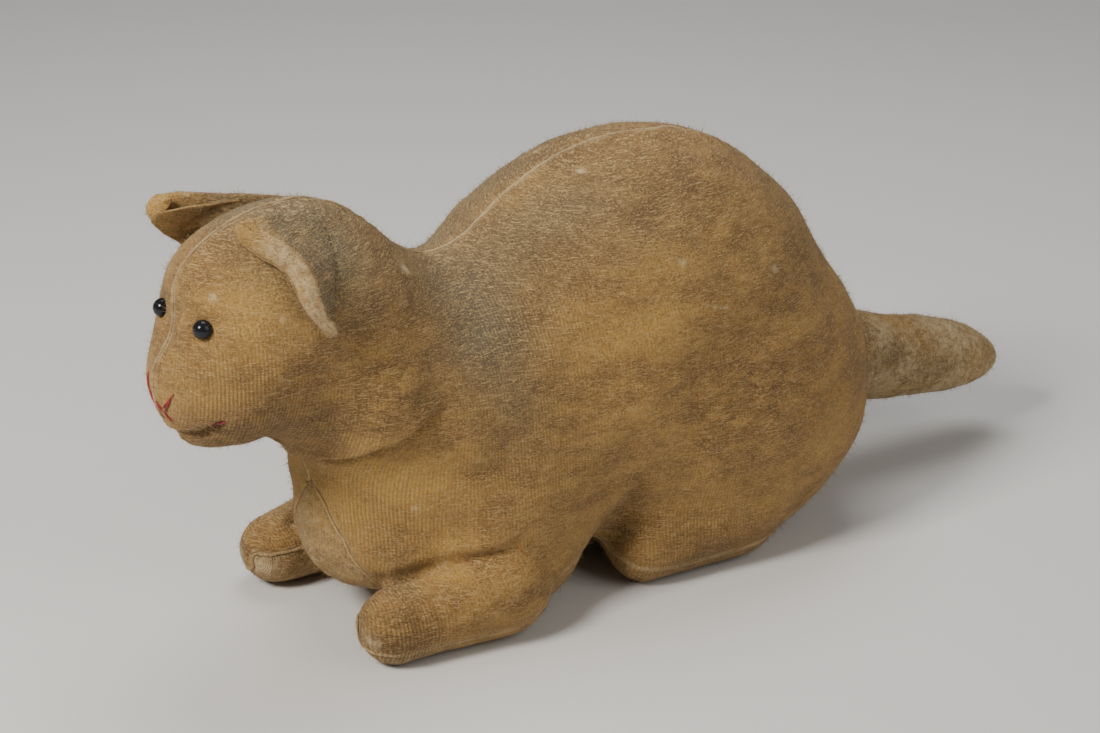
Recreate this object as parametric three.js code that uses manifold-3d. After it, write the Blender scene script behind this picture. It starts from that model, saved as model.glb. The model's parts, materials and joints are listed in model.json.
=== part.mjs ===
// A stuffed toy cat in velveteen, crouching with its forepaws forward. Millimetres, +Z up.
// The cat faces -Y and its left side is +X. The origin lies on the ground under the middle of the
// object. Each side is one panel from nose to tail; a gusset closes the throat, the belly and the
// inner faces of the legs; the ears and the tail are made apart and sewn on.
import * as THREE from "three";
import { mergeVertices } from "three/addons/utils/BufferGeometryUtils.js";
import Module from "manifold-3d";

const wasm = await Module();
wasm.setup();

// ---- driving dimensions ----
const FABRIC = 1; // thickness of the velveteen
const GAP = 0.3; // clearance between neighbouring pieces
const FILL_INSET = FABRIC + GAP; // the stuffing's surface lies this deep under the outer surface
const SOLE_TRIM = 0.6; // the soles are pressed flat by this much
const SHIFT_Y = -59.2; // moves the design origin to the middle of the object's length
const AROUND = { low: [-90, -150, -5], high: [90, 260, 190] }; // a box well outside the cat
const THREAD = 0.5; // radius of the sewing thread
const THREAD_LIFT = THREAD + GAP; // height of a surface stitch's middle line above the skin

// The swelling forms that the panels are cut and stuffed to. `blend` is how softly a form joins
// the ones before it; a `pair` stands on both sides. Ellipsoids have `centre` and `radii`, rounded
// limbs run from `from` to `to` with the radii `thick` and `thin`.
const HEAD = [
  { name: "skull", centre: [0, -66, 115], radii: [34, 38, 30] },
  { name: "muzzle", centre: [0, -84, 97], radii: [25, 23, 20], blend: 14 },
  { name: "jaw", centre: [0, -44, 89], radii: [38, 27, 30], blend: 14 },
];
const TORSO = [
  { name: "barrel", centre: [0, 63, 75], radii: [54, 80, 69] },
  { name: "haunches", centre: [0, 99, 52], radii: [52, 60, 41], blend: 20 },
  { name: "shoulders", centre: [0, -8, 55], radii: [42, 42, 48], blend: 25 },
  { name: "neck", from: [0, -29, 85], to: [0, -60, 116], thick: 34, thin: 29, blend: 20 },
  { name: "chest", centre: [0, -38, 32], radii: [29, 18, 19], blend: 16 },
  { name: "flank", centre: [28, 3, 28], radii: [18, 24, 27], blend: 16, pair: true },
  { name: "thigh", centre: [32, 94, 41], radii: [21, 43, 38], blend: 18, pair: true },
  { name: "hind_foot", from: [35, 84, 17], to: [35, 50, 13], thick: 17, thin: 13, blend: 10, pair: true },
];
const FORELEG = [
  { name: "foreleg", from: [37, -9, 16.5], to: [34, -48, 12.5], thick: 16.5, thin: 12.5 },
];
const SEAM_RIDGE = { back: 1.2, face: 3.4, reach: 9, faceY: -60, fade: 14 };
const HEAD_CENTRE = [0, -64, 106];
const TORSO_CENTRE = [0, 45, 66];
const FORELEG_CENTRE = [35, -28, 14];
const HEAD_TO_TORSO_BLEND = 5;
const FACETS = { torso: [26, 24], head: [18, 14], foreleg: [14, 12] }; // [around, along]

// The tail turns in a shallow socket in the rump.
const TAIL_PIVOT = [2, 166, 41];
const TAIL_TIP = [8, 218, 30.5];
const TAIL_ROOT_RADIUS = 16.5;
const TAIL_TIP_RADIUS = 11.5;
const TAIL_ROOT_OPENING = 8;
const TAIL_WAD_RADIUS = 14; // the ball of stuffing in the root that the tail flops on
const TAIL_WAD_CUT = 4; // the tail's own stuffing starts this far beyond the pivot
const SOCKET_GAP = 0.5; // clearance between the tail's round root and its socket

// Each ear is a flap sewn along its root, with its tip carried forward.
const EAR_ROOT_TOP = [10, -58, 145.5];
const EAR_ROOT_LOW = [34, -69, 115.5];
const EAR_ROOT_BOW = 4;
const EAR_OFF_HEAD = 1.6;
const EARS = {
  left: { side: 1, tip: [12, -86, 147.5], dome: 5 },
  right: { side: -1, tip: [27, -95, 145], dome: 3 },
};
const EAR_LAYER = 1.1; // thickness of each of an ear's two layers
const EAR_LAYER_GAP = 0.5;
const EAR_TIP_HALF = 4;
const EAR_TIP_ROUND = 2;

const EYE = { at: [14.3, -100.6, 119.3], radius: 3.1, proud: 1.7, bore: 0.9 };
const NOSE = { arm: [8, -107, 98], apex: [0, -109, 90.5] };
const MOUTH = { start: [11, -99.5, 84.5], corner: [20, -96.5, 91.5] };

// The gusset's edge in side view, from the forepaws back to the rump, as [y, z].
const GUSSET_EDGE = [[-72, 7], [-12, 7], [12, 17], [30, 19], [40, 10], [56, 7], [100, 8], [128, 19], [152, 27]];
// Between the legs the gusset climbs to the middle of their inner faces.
const GUSSET_INNER = { half: 33, top: 15, front: -72, back: 66 };
const GUSSET_CHEST = { topHalf: 3, lowHalf: 20, topZ: 55, lowZ: 12, back: -20 };

// The wads of stuffing in the left legs, as boxes that cut them from the whole filling.
const LEG_WADS = {
  foreleg: { low: [18, -75, -2], high: [75, -22, 32] },
  hind_foot: { low: [21, 20, -2], high: [75, 62, 27] },
};
// The head's filling ends on a plane from the throat to the nape, leaning back by `lean`.
const HEAD_WAD = { size: [160, 120, 200], lean: 0.69, through: [0, -38, 92] };

// Sewing that shows: zigzags along the ears' roots and the closed opening, and a ring at the tail.
const EAR_STITCHES = { count: 8, near: 2.6, far: 4.4, out: 0.3, up: 0.5 };
const TAIL_STITCHES = { count: 18, outside: 2, inFront: 7 };
const CLOSING_STITCHES = { count: 8, spacing: 3, inner: 20, outer: 24, front: 14, height: 8, lift: 0.8 };

const FINISH = {
  velveteen: { color: 0x8f6a3c, roughness: 0.95 },
  lining: { color: 0x9a7446, roughness: 0.95 },
  stuffing: { color: 0xcdbb92, roughness: 1 },
  glass: { color: 0x07080a, roughness: 0.12 },
  redThread: { color: 0xa3242c, roughness: 0.8 },
  thread: { color: 0xb79a68, roughness: 0.85 },
};

// ---- the shape of the skin ----
const clampedBlend = (a, b, k) => {
  const h = Math.max(k - Math.abs(a - b), 0) / k;
  return Math.min(a, b) - h * h * k * 0.25;
};

function ellipsoidDistance(p, form) {
  let near = 0;
  let slope = 0;
  for (let i = 0; i < 3; i++) {
    const q = (p[i] - form.centre[i]) / form.radii[i];
    near += q * q;
    slope += (q / form.radii[i]) ** 2;
  }
  near = Math.sqrt(near);
  return (near * (near - 1)) / Math.max(Math.sqrt(slope), 1e-9);
}

// Distance to a limb: a cone between two balls, rounded at both ends.
function limbDistance(p, form) {
  const a = new THREE.Vector3(...form.from);
  const axis = new THREE.Vector3(...form.to).sub(a);
  const length = axis.length();
  axis.divideScalar(length);
  const local = new THREE.Vector3(...p).sub(a);
  const along = local.dot(axis);
  const out = Math.sqrt(Math.max(local.lengthSq() - along * along, 0));
  const sink = (form.thick - form.thin) / length;
  const rise = Math.sqrt(1 - sink * sink);
  const foot = out * sink * -1 + along * rise;
  if (foot < 0) return Math.hypot(out, along) - form.thick;
  if (foot > rise * length) return Math.hypot(out, along - length) - form.thin;
  return out * rise + along * sink - form.thick;
}

function formsDistance(p, forms) {
  const mirrored = [Math.abs(p[0]), p[1], p[2]];
  let d = null;
  for (const form of forms) {
    const q = form.pair ? mirrored : p;
    const own = form.radii ? ellipsoidDistance(q, form) : limbDistance(q, form);
    d = d === null ? own : clampedBlend(d, own, form.blend);
  }
  return d;
}

// The centre seam stands up as a ridge, highest on the face.
function seamRidge(p) {
  const onFace = 1 / (1 + Math.exp((p[1] - SEAM_RIDGE.faceY) / SEAM_RIDGE.fade));
  const height = SEAM_RIDGE.back + (SEAM_RIDGE.face - SEAM_RIDGE.back) * onFace;
  return height * Math.exp(-Math.abs(p[0]) / SEAM_RIDGE.reach);
}

const headDistance = (p) => formsDistance(p, HEAD) - seamRidge(p);
const torsoDistance = (p) => formsDistance(p, TORSO) - seamRidge(p) * 0.8;
const forelegDistance = (p) => formsDistance(p, FORELEG);
const skinDistance = (p) =>
  Math.min(
    clampedBlend(torsoDistance(p), headDistance(p), HEAD_TO_TORSO_BLEND),
    forelegDistance([Math.abs(p[0]), p[1], p[2]]),
  );

function outwards(p, distance = skinDistance) {
  const step = 0.2;
  const slope = [0, 1, 2].map((i) => {
    const ahead = [...p];
    const behind = [...p];
    ahead[i] += step;
    behind[i] -= step;
    return distance(ahead) - distance(behind);
  });
  return new THREE.Vector3(...slope).normalize();
}

// The point of the skin nearest to `p`, lifted off it by `lift`.
function onSkin(p, lift = 0) {
  const q = new THREE.Vector3(...p);
  for (let i = 0; i < 8; i++) {
    const at = q.toArray();
    q.addScaledVector(outwards(at), lift - skinDistance(at));
  }
  return q;
}

// ---- solids ----
function solid(geometry) {
  const bare = geometry.clone();
  for (const name of Object.keys(bare.attributes)) if (name !== "position") bare.deleteAttribute(name);
  const merged = mergeVertices(bare, 1e-4);
  return new wasm.Manifold(
    new wasm.Mesh({
      numProp: 3,
      vertProperties: merged.attributes.position.array,
      triVerts: new Uint32Array(merged.index.array),
    }),
  );
}

function geometryOf(manifold) {
  const mesh = manifold.getMesh();
  const points = new Float32Array(mesh.numVert * 3);
  for (let i = 0; i < mesh.numVert; i++) {
    points.set(mesh.vertProperties.subarray(i * mesh.numProp, i * mesh.numProp + 3), i * 3);
  }
  const geometry = new THREE.BufferGeometry();
  geometry.setAttribute("position", new THREE.BufferAttribute(points, 3));
  geometry.setIndex(new THREE.BufferAttribute(mesh.triVerts, 1));
  geometry.computeVertexNormals();
  return geometry;
}

// A rounded lump: a sphere whose points are moved out along their rays until they lie `inset`
// under the surface that `distance` describes. Its poles lie fore and aft.
function lump(distance, centre, inset, around, along) {
  const geometry = new THREE.SphereGeometry(1, around, along).rotateX(Math.PI / 2);
  const points = geometry.attributes.position;
  const ray = new THREE.Vector3();
  const at = (t) => [centre[0] + ray.x * t, centre[1] + ray.y * t, centre[2] + ray.z * t];
  for (let i = 0; i < points.count; i++) {
    ray.fromBufferAttribute(points, i).normalize();
    let far = 4;
    while (distance(at(far)) < -inset) far += 2;
    let near = far - 2;
    for (let n = 0; n < 14; n++) {
      const middle = (near + far) / 2;
      if (distance(at(middle)) < -inset) near = middle;
      else far = middle;
    }
    points.setXYZ(i, ...at(far));
  }
  return solid(geometry);
}

const mirror = (manifold) => manifold.mirror([1, 0, 0]);

function box(from, to) {
  const size = to.map((v, i) => v - from[i]);
  const middle = to.map((v, i) => (v + from[i]) / 2);
  return solid(new THREE.BoxGeometry(...size).translate(...middle));
}

function ball(centre, radius, around = 20, along = 12) {
  return solid(new THREE.SphereGeometry(radius, around, along).translate(...centre));
}

// A straight round bar between two points.
function bar(from, to, radius, sides = 10) {
  const a = new THREE.Vector3(...from);
  const b = new THREE.Vector3(...to);
  const way = b.clone().sub(a);
  const turn = new THREE.Quaternion().setFromUnitVectors(new THREE.Vector3(0, 1, 0), way.clone().normalize());
  const geometry = new THREE.CylinderGeometry(radius, radius, way.length(), sides);
  geometry.applyQuaternion(turn).translate(...a.add(b).multiplyScalar(0.5).toArray());
  return solid(geometry);
}

// A thread through a row of points.
function thread(points, steps, radius = THREAD) {
  const section = new THREE.Shape().absarc(0, 0, radius, 0, Math.PI * 2);
  const path = new THREE.CatmullRomCurve3(points, false, "catmullrom", 0.4);
  return solid(
    new THREE.ExtrudeGeometry(section, { steps, extrudePath: path, curveSegments: 3, bevelEnabled: false }),
  );
}

// Everything inside the skin at a depth of `inset`, with the soles pressed flat.
function figure(inset) {
  const leg = lump(forelegDistance, FORELEG_CENTRE, inset, ...FACETS.foreleg);
  const parts = [
    lump(torsoDistance, TORSO_CENTRE, inset, ...FACETS.torso),
    lump(headDistance, HEAD_CENTRE, inset, ...FACETS.head),
    leg,
    mirror(leg),
  ];
  const whole = parts.reduce((a, b) => a.add(b));
  return whole.intersect(box([AROUND.low[0], AROUND.low[1], SOLE_TRIM + inset], AROUND.high));
}

// ---- cutters ----
// The part of the figure that the gusset takes, grown by `grow` for the neighbours' clearance.
function gussetCutter(grow) {
  const outline = new THREE.Shape();
  outline.moveTo(GUSSET_EDGE[0][0], -5);
  outline.lineTo(GUSSET_EDGE[0][0], GUSSET_EDGE[0][1] + grow);
  outline.splineThru(GUSSET_EDGE.slice(1).map(([y, z]) => new THREE.Vector2(y, z + grow)));
  outline.lineTo(GUSSET_EDGE.at(-1)[0], -5);
  outline.closePath();
  const sideways = new THREE.ExtrudeGeometry(outline, { depth: 180, bevelEnabled: false, curveSegments: 3 });
  // The outline is drawn in Y and Z, and extruded along X.
  sideways.applyMatrix4(new THREE.Matrix4().set(0, 0, 1, -90, 1, 0, 0, 0, 0, 1, 0, 0, 0, 0, 0, 1));
  const inner = GUSSET_INNER;
  const half = inner.half + grow;
  const betweenLegs = box([-half, inner.front, -5], [half, inner.back, inner.top + grow]);
  const c = GUSSET_CHEST;
  const strip = new THREE.Shape([
    new THREE.Vector2(-c.lowHalf - grow, c.lowZ),
    new THREE.Vector2(c.lowHalf + grow, c.lowZ),
    new THREE.Vector2(c.topHalf + grow, c.topZ + grow),
    new THREE.Vector2(-c.topHalf - grow, c.topZ + grow),
  ]);
  const chest = new THREE.ExtrudeGeometry(strip, { depth: 60, bevelEnabled: false }).rotateX(Math.PI / 2);
  chest.translate(0, c.back, 0);
  return solid(sideways).add(betweenLegs).add(solid(chest));
}

// ---- tail ----
const tailAxis = new THREE.Vector3(...TAIL_TIP).sub(new THREE.Vector3(...TAIL_PIVOT));
const TAIL_LENGTH = tailAxis.length(); // between the centres of its two round ends
tailAxis.normalize();
const alongTail = (distance) => new THREE.Vector3(...TAIL_PIVOT).addScaledVector(tailAxis, distance).toArray();

// The tail `inset` under its surface: a cone between two balls, turned about the tail's axis.
function tailForm(inset) {
  const lean = Math.asin((TAIL_ROOT_RADIUS - TAIL_TIP_RADIUS) / TAIL_LENGTH);
  const profile = [];
  const arc = (middle, radius, from, to, steps) => {
    for (let i = 0; i <= steps; i++) {
      const angle = from + ((to - from) * i) / steps;
      const out = Math.max(radius * Math.cos(angle), 0);
      profile.push(new THREE.Vector2(out, middle + radius * Math.sin(angle)));
    }
  };
  arc(0, TAIL_ROOT_RADIUS - inset, -Math.PI / 2, lean, 7);
  arc(TAIL_LENGTH, TAIL_TIP_RADIUS - inset, lean, Math.PI / 2, 4);
  const geometry = new THREE.LatheGeometry(profile, 18);
  const turn = new THREE.Quaternion().setFromUnitVectors(new THREE.Vector3(0, 1, 0), tailAxis);
  return solid(geometry.applyQuaternion(turn).translate(...TAIL_PIVOT));
}

// ---- ears ----
// A point of an ear's middle surface: u runs from the top of the root (-1) to its lower end (1),
// and v from the root to the tip.
function earMiddle(ear, u, v) {
  const top = onSkin(EAR_ROOT_TOP, EAR_OFF_HEAD);
  const low = onSkin(EAR_ROOT_LOW, EAR_OFF_HEAD);
  const middle = top.clone().add(low).multiplyScalar(0.5);
  const along = low.clone().sub(top).normalize();
  const away = outwards(middle.toArray());
  const back = away.clone().cross(along).normalize();
  if (back.y < 0) back.negate();
  const root = top.clone().lerp(low, (u + 1) / 2).addScaledVector(back, EAR_ROOT_BOW * (1 - u * u));
  const seated = onSkin(root.toArray(), EAR_OFF_HEAD);
  const end = new THREE.Vector3(...ear.tip).addScaledVector(along, EAR_TIP_HALF * u);
  end.addScaledVector(back, EAR_TIP_ROUND * u * u);
  const flap = seated.lerp(end, v).addScaledVector(away, ear.dome * (1 - 0.4 * u * u) * 4 * v * (1 - v));
  const clear = skinDistance(flap.toArray());
  if (clear < EAR_OFF_HEAD) flap.addScaledVector(outwards(flap.toArray()), EAR_OFF_HEAD - clear);
  return flap;
}

// The same point moved `off` outwards, square to the ear's surface.
function earPoint(ear, u, v, off) {
  const step = 0.04;
  const across = earMiddle(ear, u + step, v).sub(earMiddle(ear, u - step, v));
  const forward = earMiddle(ear, u, v + step).sub(earMiddle(ear, u, v - step));
  const square = across.cross(forward).normalize();
  const at = earMiddle(ear, u, v);
  if (square.dot(outwards(at.toArray())) < 0) square.negate();
  return at.addScaledVector(square, off);
}

// One layer of an ear between two offsets from its middle surface.
function earLayer(ear, from, to) {
  const geometry = new THREE.BoxGeometry(2, 1, 1, 6, 6, 1);
  const points = geometry.attributes.position;
  for (let i = 0; i < points.count; i++) {
    const v = points.getY(i) + 0.5;
    const off = points.getZ(i) > 0 ? to : from;
    points.setXYZ(i, ...earPoint(ear, points.getX(i), v, off).toArray());
  }
  const made = solid(geometry);
  return made.volume() < 0 ? reversed(geometry) : made;
}

function reversed(geometry) {
  const index = geometry.index.array;
  for (let i = 0; i < index.length; i += 3) [index[i + 1], index[i + 2]] = [index[i + 2], index[i + 1]];
  return solid(geometry);
}

// ---- assembly ----
const root = new THREE.Group();
const cat = new THREE.Group();
cat.position.set(0, SHIFT_Y, -SOLE_TRIM);
root.add(cat);

function piece(name, manifold, finish) {
  const material = new THREE.MeshStandardMaterial({ ...FINISH[finish], metalness: 0 });
  const mesh = new THREE.Mesh(geometryOf(manifold), material);
  mesh.name = name;
  cat.add(mesh);
}

const eyeCentre = onSkin(EYE.at, EYE.proud).toArray();
const otherEye = [-eyeCentre[0], eyeCentre[1], eyeCentre[2]];
const eyeSeats = ball(eyeCentre, EYE.radius + GAP).add(ball(otherEye, EYE.radius + GAP));
const threadChannel = bar(eyeCentre, otherEye, THREAD + GAP);
const socket = (inset) => ball(TAIL_PIVOT, TAIL_ROOT_RADIUS + SOCKET_GAP + inset, 24, 16);

// The largest body of a solid, without the crumbs that a cutter leaves.
const largest = (manifold) => manifold.decompose().reduce((a, b) => (a.volume() > b.volume() ? a : b));

function addPanels() {
  let skin = figure(0).subtract(figure(FABRIC)).subtract(socket(0));
  skin = skin.subtract(eyeSeats).subtract(threadChannel);
  const upper = skin.subtract(gussetCutter(GAP));
  const left = upper.intersect(box([GAP / 2, AROUND.low[1], AROUND.low[2]], AROUND.high));
  const right = upper.intersect(box(AROUND.low, [-GAP / 2, AROUND.high[1], AROUND.high[2]]));
  piece("left_side_panel", largest(left), "velveteen");
  piece("right_side_panel", largest(right), "velveteen");
  piece("underbody_gusset", skin.intersect(gussetCutter(0)), "velveteen");
}

function addStuffing() {
  let fill = figure(FILL_INSET).subtract(socket(FABRIC));
  fill = fill.subtract(eyeSeats).subtract(threadChannel);
  for (const [leg, wad] of Object.entries(LEG_WADS)) {
    const taken = box(wad.low, wad.high);
    piece("left_" + leg + "_stuffing", fill.intersect(taken), "stuffing");
    piece("right_" + leg + "_stuffing", fill.intersect(mirror(taken)), "stuffing");
    const room = box(wad.low.map((v) => v - GAP), wad.high.map((v) => v + GAP));
    fill = fill.subtract(room).subtract(mirror(room));
  }
  const headSide = new THREE.BoxGeometry(...HEAD_WAD.size).translate(0, -HEAD_WAD.size[1] / 2, 0);
  headSide.rotateX(-HEAD_WAD.lean).translate(...HEAD_WAD.through);
  const grown = headSide.clone().translate(0, GAP, 0);
  piece("head_stuffing", fill.intersect(solid(headSide)), "stuffing");
  piece("body_stuffing", fill.subtract(solid(grown)), "stuffing");
}

function addTail() {
  const opening = bar(TAIL_PIVOT, alongTail(-TAIL_ROOT_RADIUS * 2), TAIL_ROOT_OPENING, 16);
  piece("tail_cover", tailForm(0).subtract(tailForm(FABRIC)).subtract(opening), "velveteen");
  piece("tail_root_stuffing", ball(TAIL_PIVOT, TAIL_WAD_RADIUS, 16, 10), "stuffing");
  const beyond = bar(alongTail(TAIL_WAD_CUT), alongTail(TAIL_LENGTH * 2), TAIL_ROOT_RADIUS * 2, 8);
  const hollow = ball(TAIL_PIVOT, TAIL_WAD_RADIUS + 2 * GAP, 16, 10);
  piece("tail_stuffing", tailForm(FILL_INSET).intersect(beyond).subtract(hollow), "stuffing");
}

function addEars() {
  for (const [name, ear] of Object.entries(EARS)) {
    const turned = (manifold) => (ear.side < 0 ? mirror(manifold) : manifold);
    const near = EAR_LAYER_GAP / 2;
    piece(name + "_ear_outer", turned(earLayer(ear, near, near + EAR_LAYER)), "velveteen");
    piece(name + "_ear_lining", turned(earLayer(ear, -near - EAR_LAYER, -near)), "lining");
  }
}

function addEyes() {
  const [x, y, z] = eyeCentre;
  const blind = x - EYE.radius * 0.4; // the bead's bore ends here, and the thread is held in it
  const bead = ball(eyeCentre, EYE.radius, 16, 10).subtract(bar([0, y, z], [blind, y, z], EYE.bore));
  piece("left_eye_bead", bead, "glass");
  piece("right_eye_bead", mirror(bead), "glass");
  const reach = blind - GAP;
  piece("eye_thread", bar([-reach, y, z], [reach, y, z], THREAD), "thread");
}

function addFaceStitches() {
  const [armX, armY, armZ] = NOSE.arm;
  const bendY = (armY + NOSE.apex[1]) / 2;
  const bendZ = (armZ + NOSE.apex[2]) / 2;
  const nose = [NOSE.arm, [armX / 2, bendY, bendZ], NOSE.apex, [-armX / 2, bendY, bendZ], [-armX, armY, armZ]];
  piece("nose_stitches", thread(nose.map((p) => onSkin(p, THREAD_LIFT)), 16), "redThread");
  const middle = MOUTH.start.map((v, i) => (v + MOUTH.corner[i]) / 2);
  const mouth = thread([MOUTH.start, middle, MOUTH.corner].map((p) => onSkin(p, THREAD_LIFT)), 8);
  piece("left_mouth_stitch", mouth, "redThread");
  piece("right_mouth_stitch", mirror(mouth), "redThread");
}

function earRootStitches() {
  const s = EAR_STITCHES;
  const line = [];
  for (let i = 0; i <= s.count; i++) {
    const root = earPoint(EARS.left, (2 * i) / s.count - 1, 0, 0);
    const behind = i % 2 ? s.near : s.far;
    line.push(onSkin([root.x + s.out, root.y + behind, root.z + s.up], THREAD_LIFT));
  }
  return thread(line, s.count * 3);
}

function tailRootStitches() {
  const s = TAIL_STITCHES;
  const reach = TAIL_ROOT_RADIUS + s.outside;
  const ring = [];
  for (let i = 0; i < s.count; i++) {
    const angle = (i / s.count) * Math.PI * 2 - Math.PI / 2;
    const [x, y, z] = TAIL_PIVOT;
    const p = [x + Math.cos(angle) * reach, y - s.inFront, z + Math.sin(angle) * reach];
    ring.push(onSkin(p, THREAD_LIFT));
  }
  return thread(ring, s.count * 2);
}

function closingStitches() {
  const s = CLOSING_STITCHES;
  const line = [];
  for (let i = 0; i <= s.count; i++) {
    line.push(onSkin([i % 2 ? s.inner : s.outer, s.front + i * s.spacing, s.height], THREAD_LIFT + s.lift));
  }
  return thread(line, s.count * 3);
}

function addSewingStitches() {
  const ear = earRootStitches();
  piece("left_ear_root_stitches", ear, "thread");
  piece("right_ear_root_stitches", mirror(ear), "thread");
  piece("tail_root_stitches", tailRootStitches(), "thread");
  piece("closing_stitches", closingStitches(), "thread");
}

addPanels();
addStuffing();
addTail();
addEars();
addEyes();
addFaceStitches();
addSewingStitches();

export default root;
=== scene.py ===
"""An old stuffed toy cat in velveteen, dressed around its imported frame.

Shapes are worked out in millimetres in the design's own frame and turned into metres when a mesh is
made. The cat faces -Y, its left side is +X. The surface is the level of a field of soft forms, the
ones that the CAD panels are stuffed to, with seams, folds and small lumps worked into it."""

import json
import math

import bpy
import numpy as np
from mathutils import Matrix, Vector
from mathutils.kdtree import KDTree


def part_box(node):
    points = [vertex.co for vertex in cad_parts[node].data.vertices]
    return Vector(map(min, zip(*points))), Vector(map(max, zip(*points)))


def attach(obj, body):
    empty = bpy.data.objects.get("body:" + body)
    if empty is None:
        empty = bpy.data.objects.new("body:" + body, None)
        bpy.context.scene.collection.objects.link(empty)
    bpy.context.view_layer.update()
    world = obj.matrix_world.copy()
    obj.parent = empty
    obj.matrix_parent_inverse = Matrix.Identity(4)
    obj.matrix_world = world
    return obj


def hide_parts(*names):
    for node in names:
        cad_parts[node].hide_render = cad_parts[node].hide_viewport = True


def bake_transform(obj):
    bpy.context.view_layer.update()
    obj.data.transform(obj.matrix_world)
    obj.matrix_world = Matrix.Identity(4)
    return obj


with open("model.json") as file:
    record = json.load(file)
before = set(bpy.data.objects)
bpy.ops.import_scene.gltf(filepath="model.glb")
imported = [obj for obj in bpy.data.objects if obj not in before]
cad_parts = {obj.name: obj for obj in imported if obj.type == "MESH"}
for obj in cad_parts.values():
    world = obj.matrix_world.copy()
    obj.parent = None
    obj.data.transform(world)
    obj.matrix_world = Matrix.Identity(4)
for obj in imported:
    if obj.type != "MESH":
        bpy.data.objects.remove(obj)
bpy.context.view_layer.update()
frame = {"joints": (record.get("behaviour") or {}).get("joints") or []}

MM = 0.001
FABRIC = 1.0  # thickness of the velveteen
FILL_DEPTH = 4.5  # the stuffing's surface lies this deep under the outer surface
PITCH = 1.2  # spacing of the skin's mesh
BODY_BOX = ((-72, -150, -12), (72, 176, 166))  # where the skin's mesh is looked for
CLOSE_UP = {"at": (0, -98, 104), "reach": 42, "gain": 0.4}  # the mesh is finer round the face
WALE = 1.15  # spacing of the velveteen's ribs

# The forms of the design, as the CAD panels have them.
HEAD = [
    {"centre": (0, -66, 115), "radii": (34, 38, 30)},
    {"centre": (0, -84, 97), "radii": (25, 23, 20), "blend": 14},
    {"centre": (0, -44, 89), "radii": (38, 27, 30), "blend": 14},
]
TORSO = [
    {"centre": (0, 63, 75), "radii": (54, 80, 69)},
    {"centre": (0, 99, 52), "radii": (52, 60, 41), "blend": 20},
    {"centre": (0, -8, 55), "radii": (42, 42, 48), "blend": 25},
    {"from": (0, -29, 85), "to": (0, -60, 116), "thick": 34, "thin": 29, "blend": 20},
    {"centre": (0, -38, 32), "radii": (29, 18, 19), "blend": 16},
    {"centre": (28, 3, 28), "radii": (18, 24, 27), "blend": 16},
    {"centre": (32, 94, 41), "radii": (21, 43, 38), "blend": 18},
    {"from": (35, 84, 17), "to": (35, 50, 13), "thick": 17, "thin": 13, "blend": 10},
]
FORELEG = [{"from": (37, -9, 16.5), "to": (34, -48, 12.5), "thick": 16.5, "thin": 12.5}]
SEAM_RIDGE = {"back": 1.2, "face": 3.4, "reach": 9, "face_y": -60, "fade": 14}
HEAD_BLEND = 5
FORELEG_BLEND = 4
SOLE = 0.6  # the ground's height in the design frame

TAIL_PIVOT = np.array((2, 166, 41.0))
TAIL_TIP = np.array((8, 218, 30.5))
TAIL_ROOT_RADIUS = 16.5
TAIL_TIP_RADIUS = 11.5

JOINTS = {joint["name"]: joint for joint in frame["joints"]}
# The design frame's own origin, in metres in the row frame: the tail's pivot lies in both.
ORIGIN = np.array(JOINTS["tail_lift"]["pos_m"]) - TAIL_PIVOT * MM


def metres(points):
    return np.asarray(points, float) * MM + ORIGIN


def millimetres(points):
    return (np.asarray(points, float) - ORIGIN) / MM


def unit(ways):
    """The directions scaled to length 1."""
    return ways / np.maximum(np.linalg.norm(ways, axis=1, keepdims=True), 1e-9)


def blend_at(where, at, rows):
    """Rows of coordinates or directions, read between the places `at` that they belong to."""
    return np.stack([np.interp(where, at, rows[:, k]) for k in range(3)], 1)


def spot(points, where, radius):
    """How much of a soft round spot each point has: 1 in its middle, falling off over its radius."""
    gap = np.linalg.norm(points - np.array(where, float), axis=1) / radius
    return np.exp(-gap ** 2)


def mirrored(points):
    """The points with those of the cat's right side moved over to its left."""
    return np.abs(points) * (1, 0, 0) + points * (0, 1, 1)


# ---- the field ----
def ellipsoid(p, centre, radii):
    """Distance to an ellipsoid, close enough near its surface."""
    q = (p - centre) / radii
    near = np.sqrt((q * q).sum(1))
    slope = np.sqrt(((q / radii) ** 2).sum(1))
    return near * (near - 1) / np.maximum(slope, 1e-9)


def limb(p, start, end, thick, thin):
    """Distance to a cone between two balls."""
    start, end = np.array(start, float), np.array(end, float)
    axis = end - start
    length = np.linalg.norm(axis)
    axis /= length
    local = p - start
    along = local @ axis
    out = np.sqrt(np.maximum((local * local).sum(1) - along * along, 0))
    sink = (thick - thin) / length
    rise = math.sqrt(1 - sink * sink)
    foot = along * rise - out * sink
    side = out * rise + along * sink - thick
    side = np.where(foot < 0, np.hypot(out, along) - thick, side)
    return np.where(foot > rise * length, np.hypot(out, along - length) - thin, side)


def smooth_min(a, b, k):
    """The lower of two distances, with their crossing rounded over k."""
    h = np.maximum(k - np.abs(a - b), 0) / k
    return np.minimum(a, b) - h * h * k * 0.25


def smooth_max(a, b, k):
    return -smooth_min(-a, -b, k)


def forms_distance(p, forms):
    """Distance to several forms, each blended into the ones before it."""
    total = None
    for form in forms:
        if "radii" in form:
            own = ellipsoid(p, np.array(form["centre"], float), np.array(form["radii"], float))
        else:
            own = limb(p, form["from"], form["to"], form["thick"], form["thin"])
        total = own if total is None else smooth_min(total, own, form["blend"])
    return total


def seam_ridge(p):
    """How far the seam along the middle of the back and face stands out."""
    on_face = 1 / (1 + np.exp((p[:, 1] - SEAM_RIDGE["face_y"]) / SEAM_RIDGE["fade"]))
    height = SEAM_RIDGE["back"] + (SEAM_RIDGE["face"] - SEAM_RIDGE["back"]) * on_face
    return height * np.exp(-np.abs(p[:, 0]) / SEAM_RIDGE["reach"])


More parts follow.
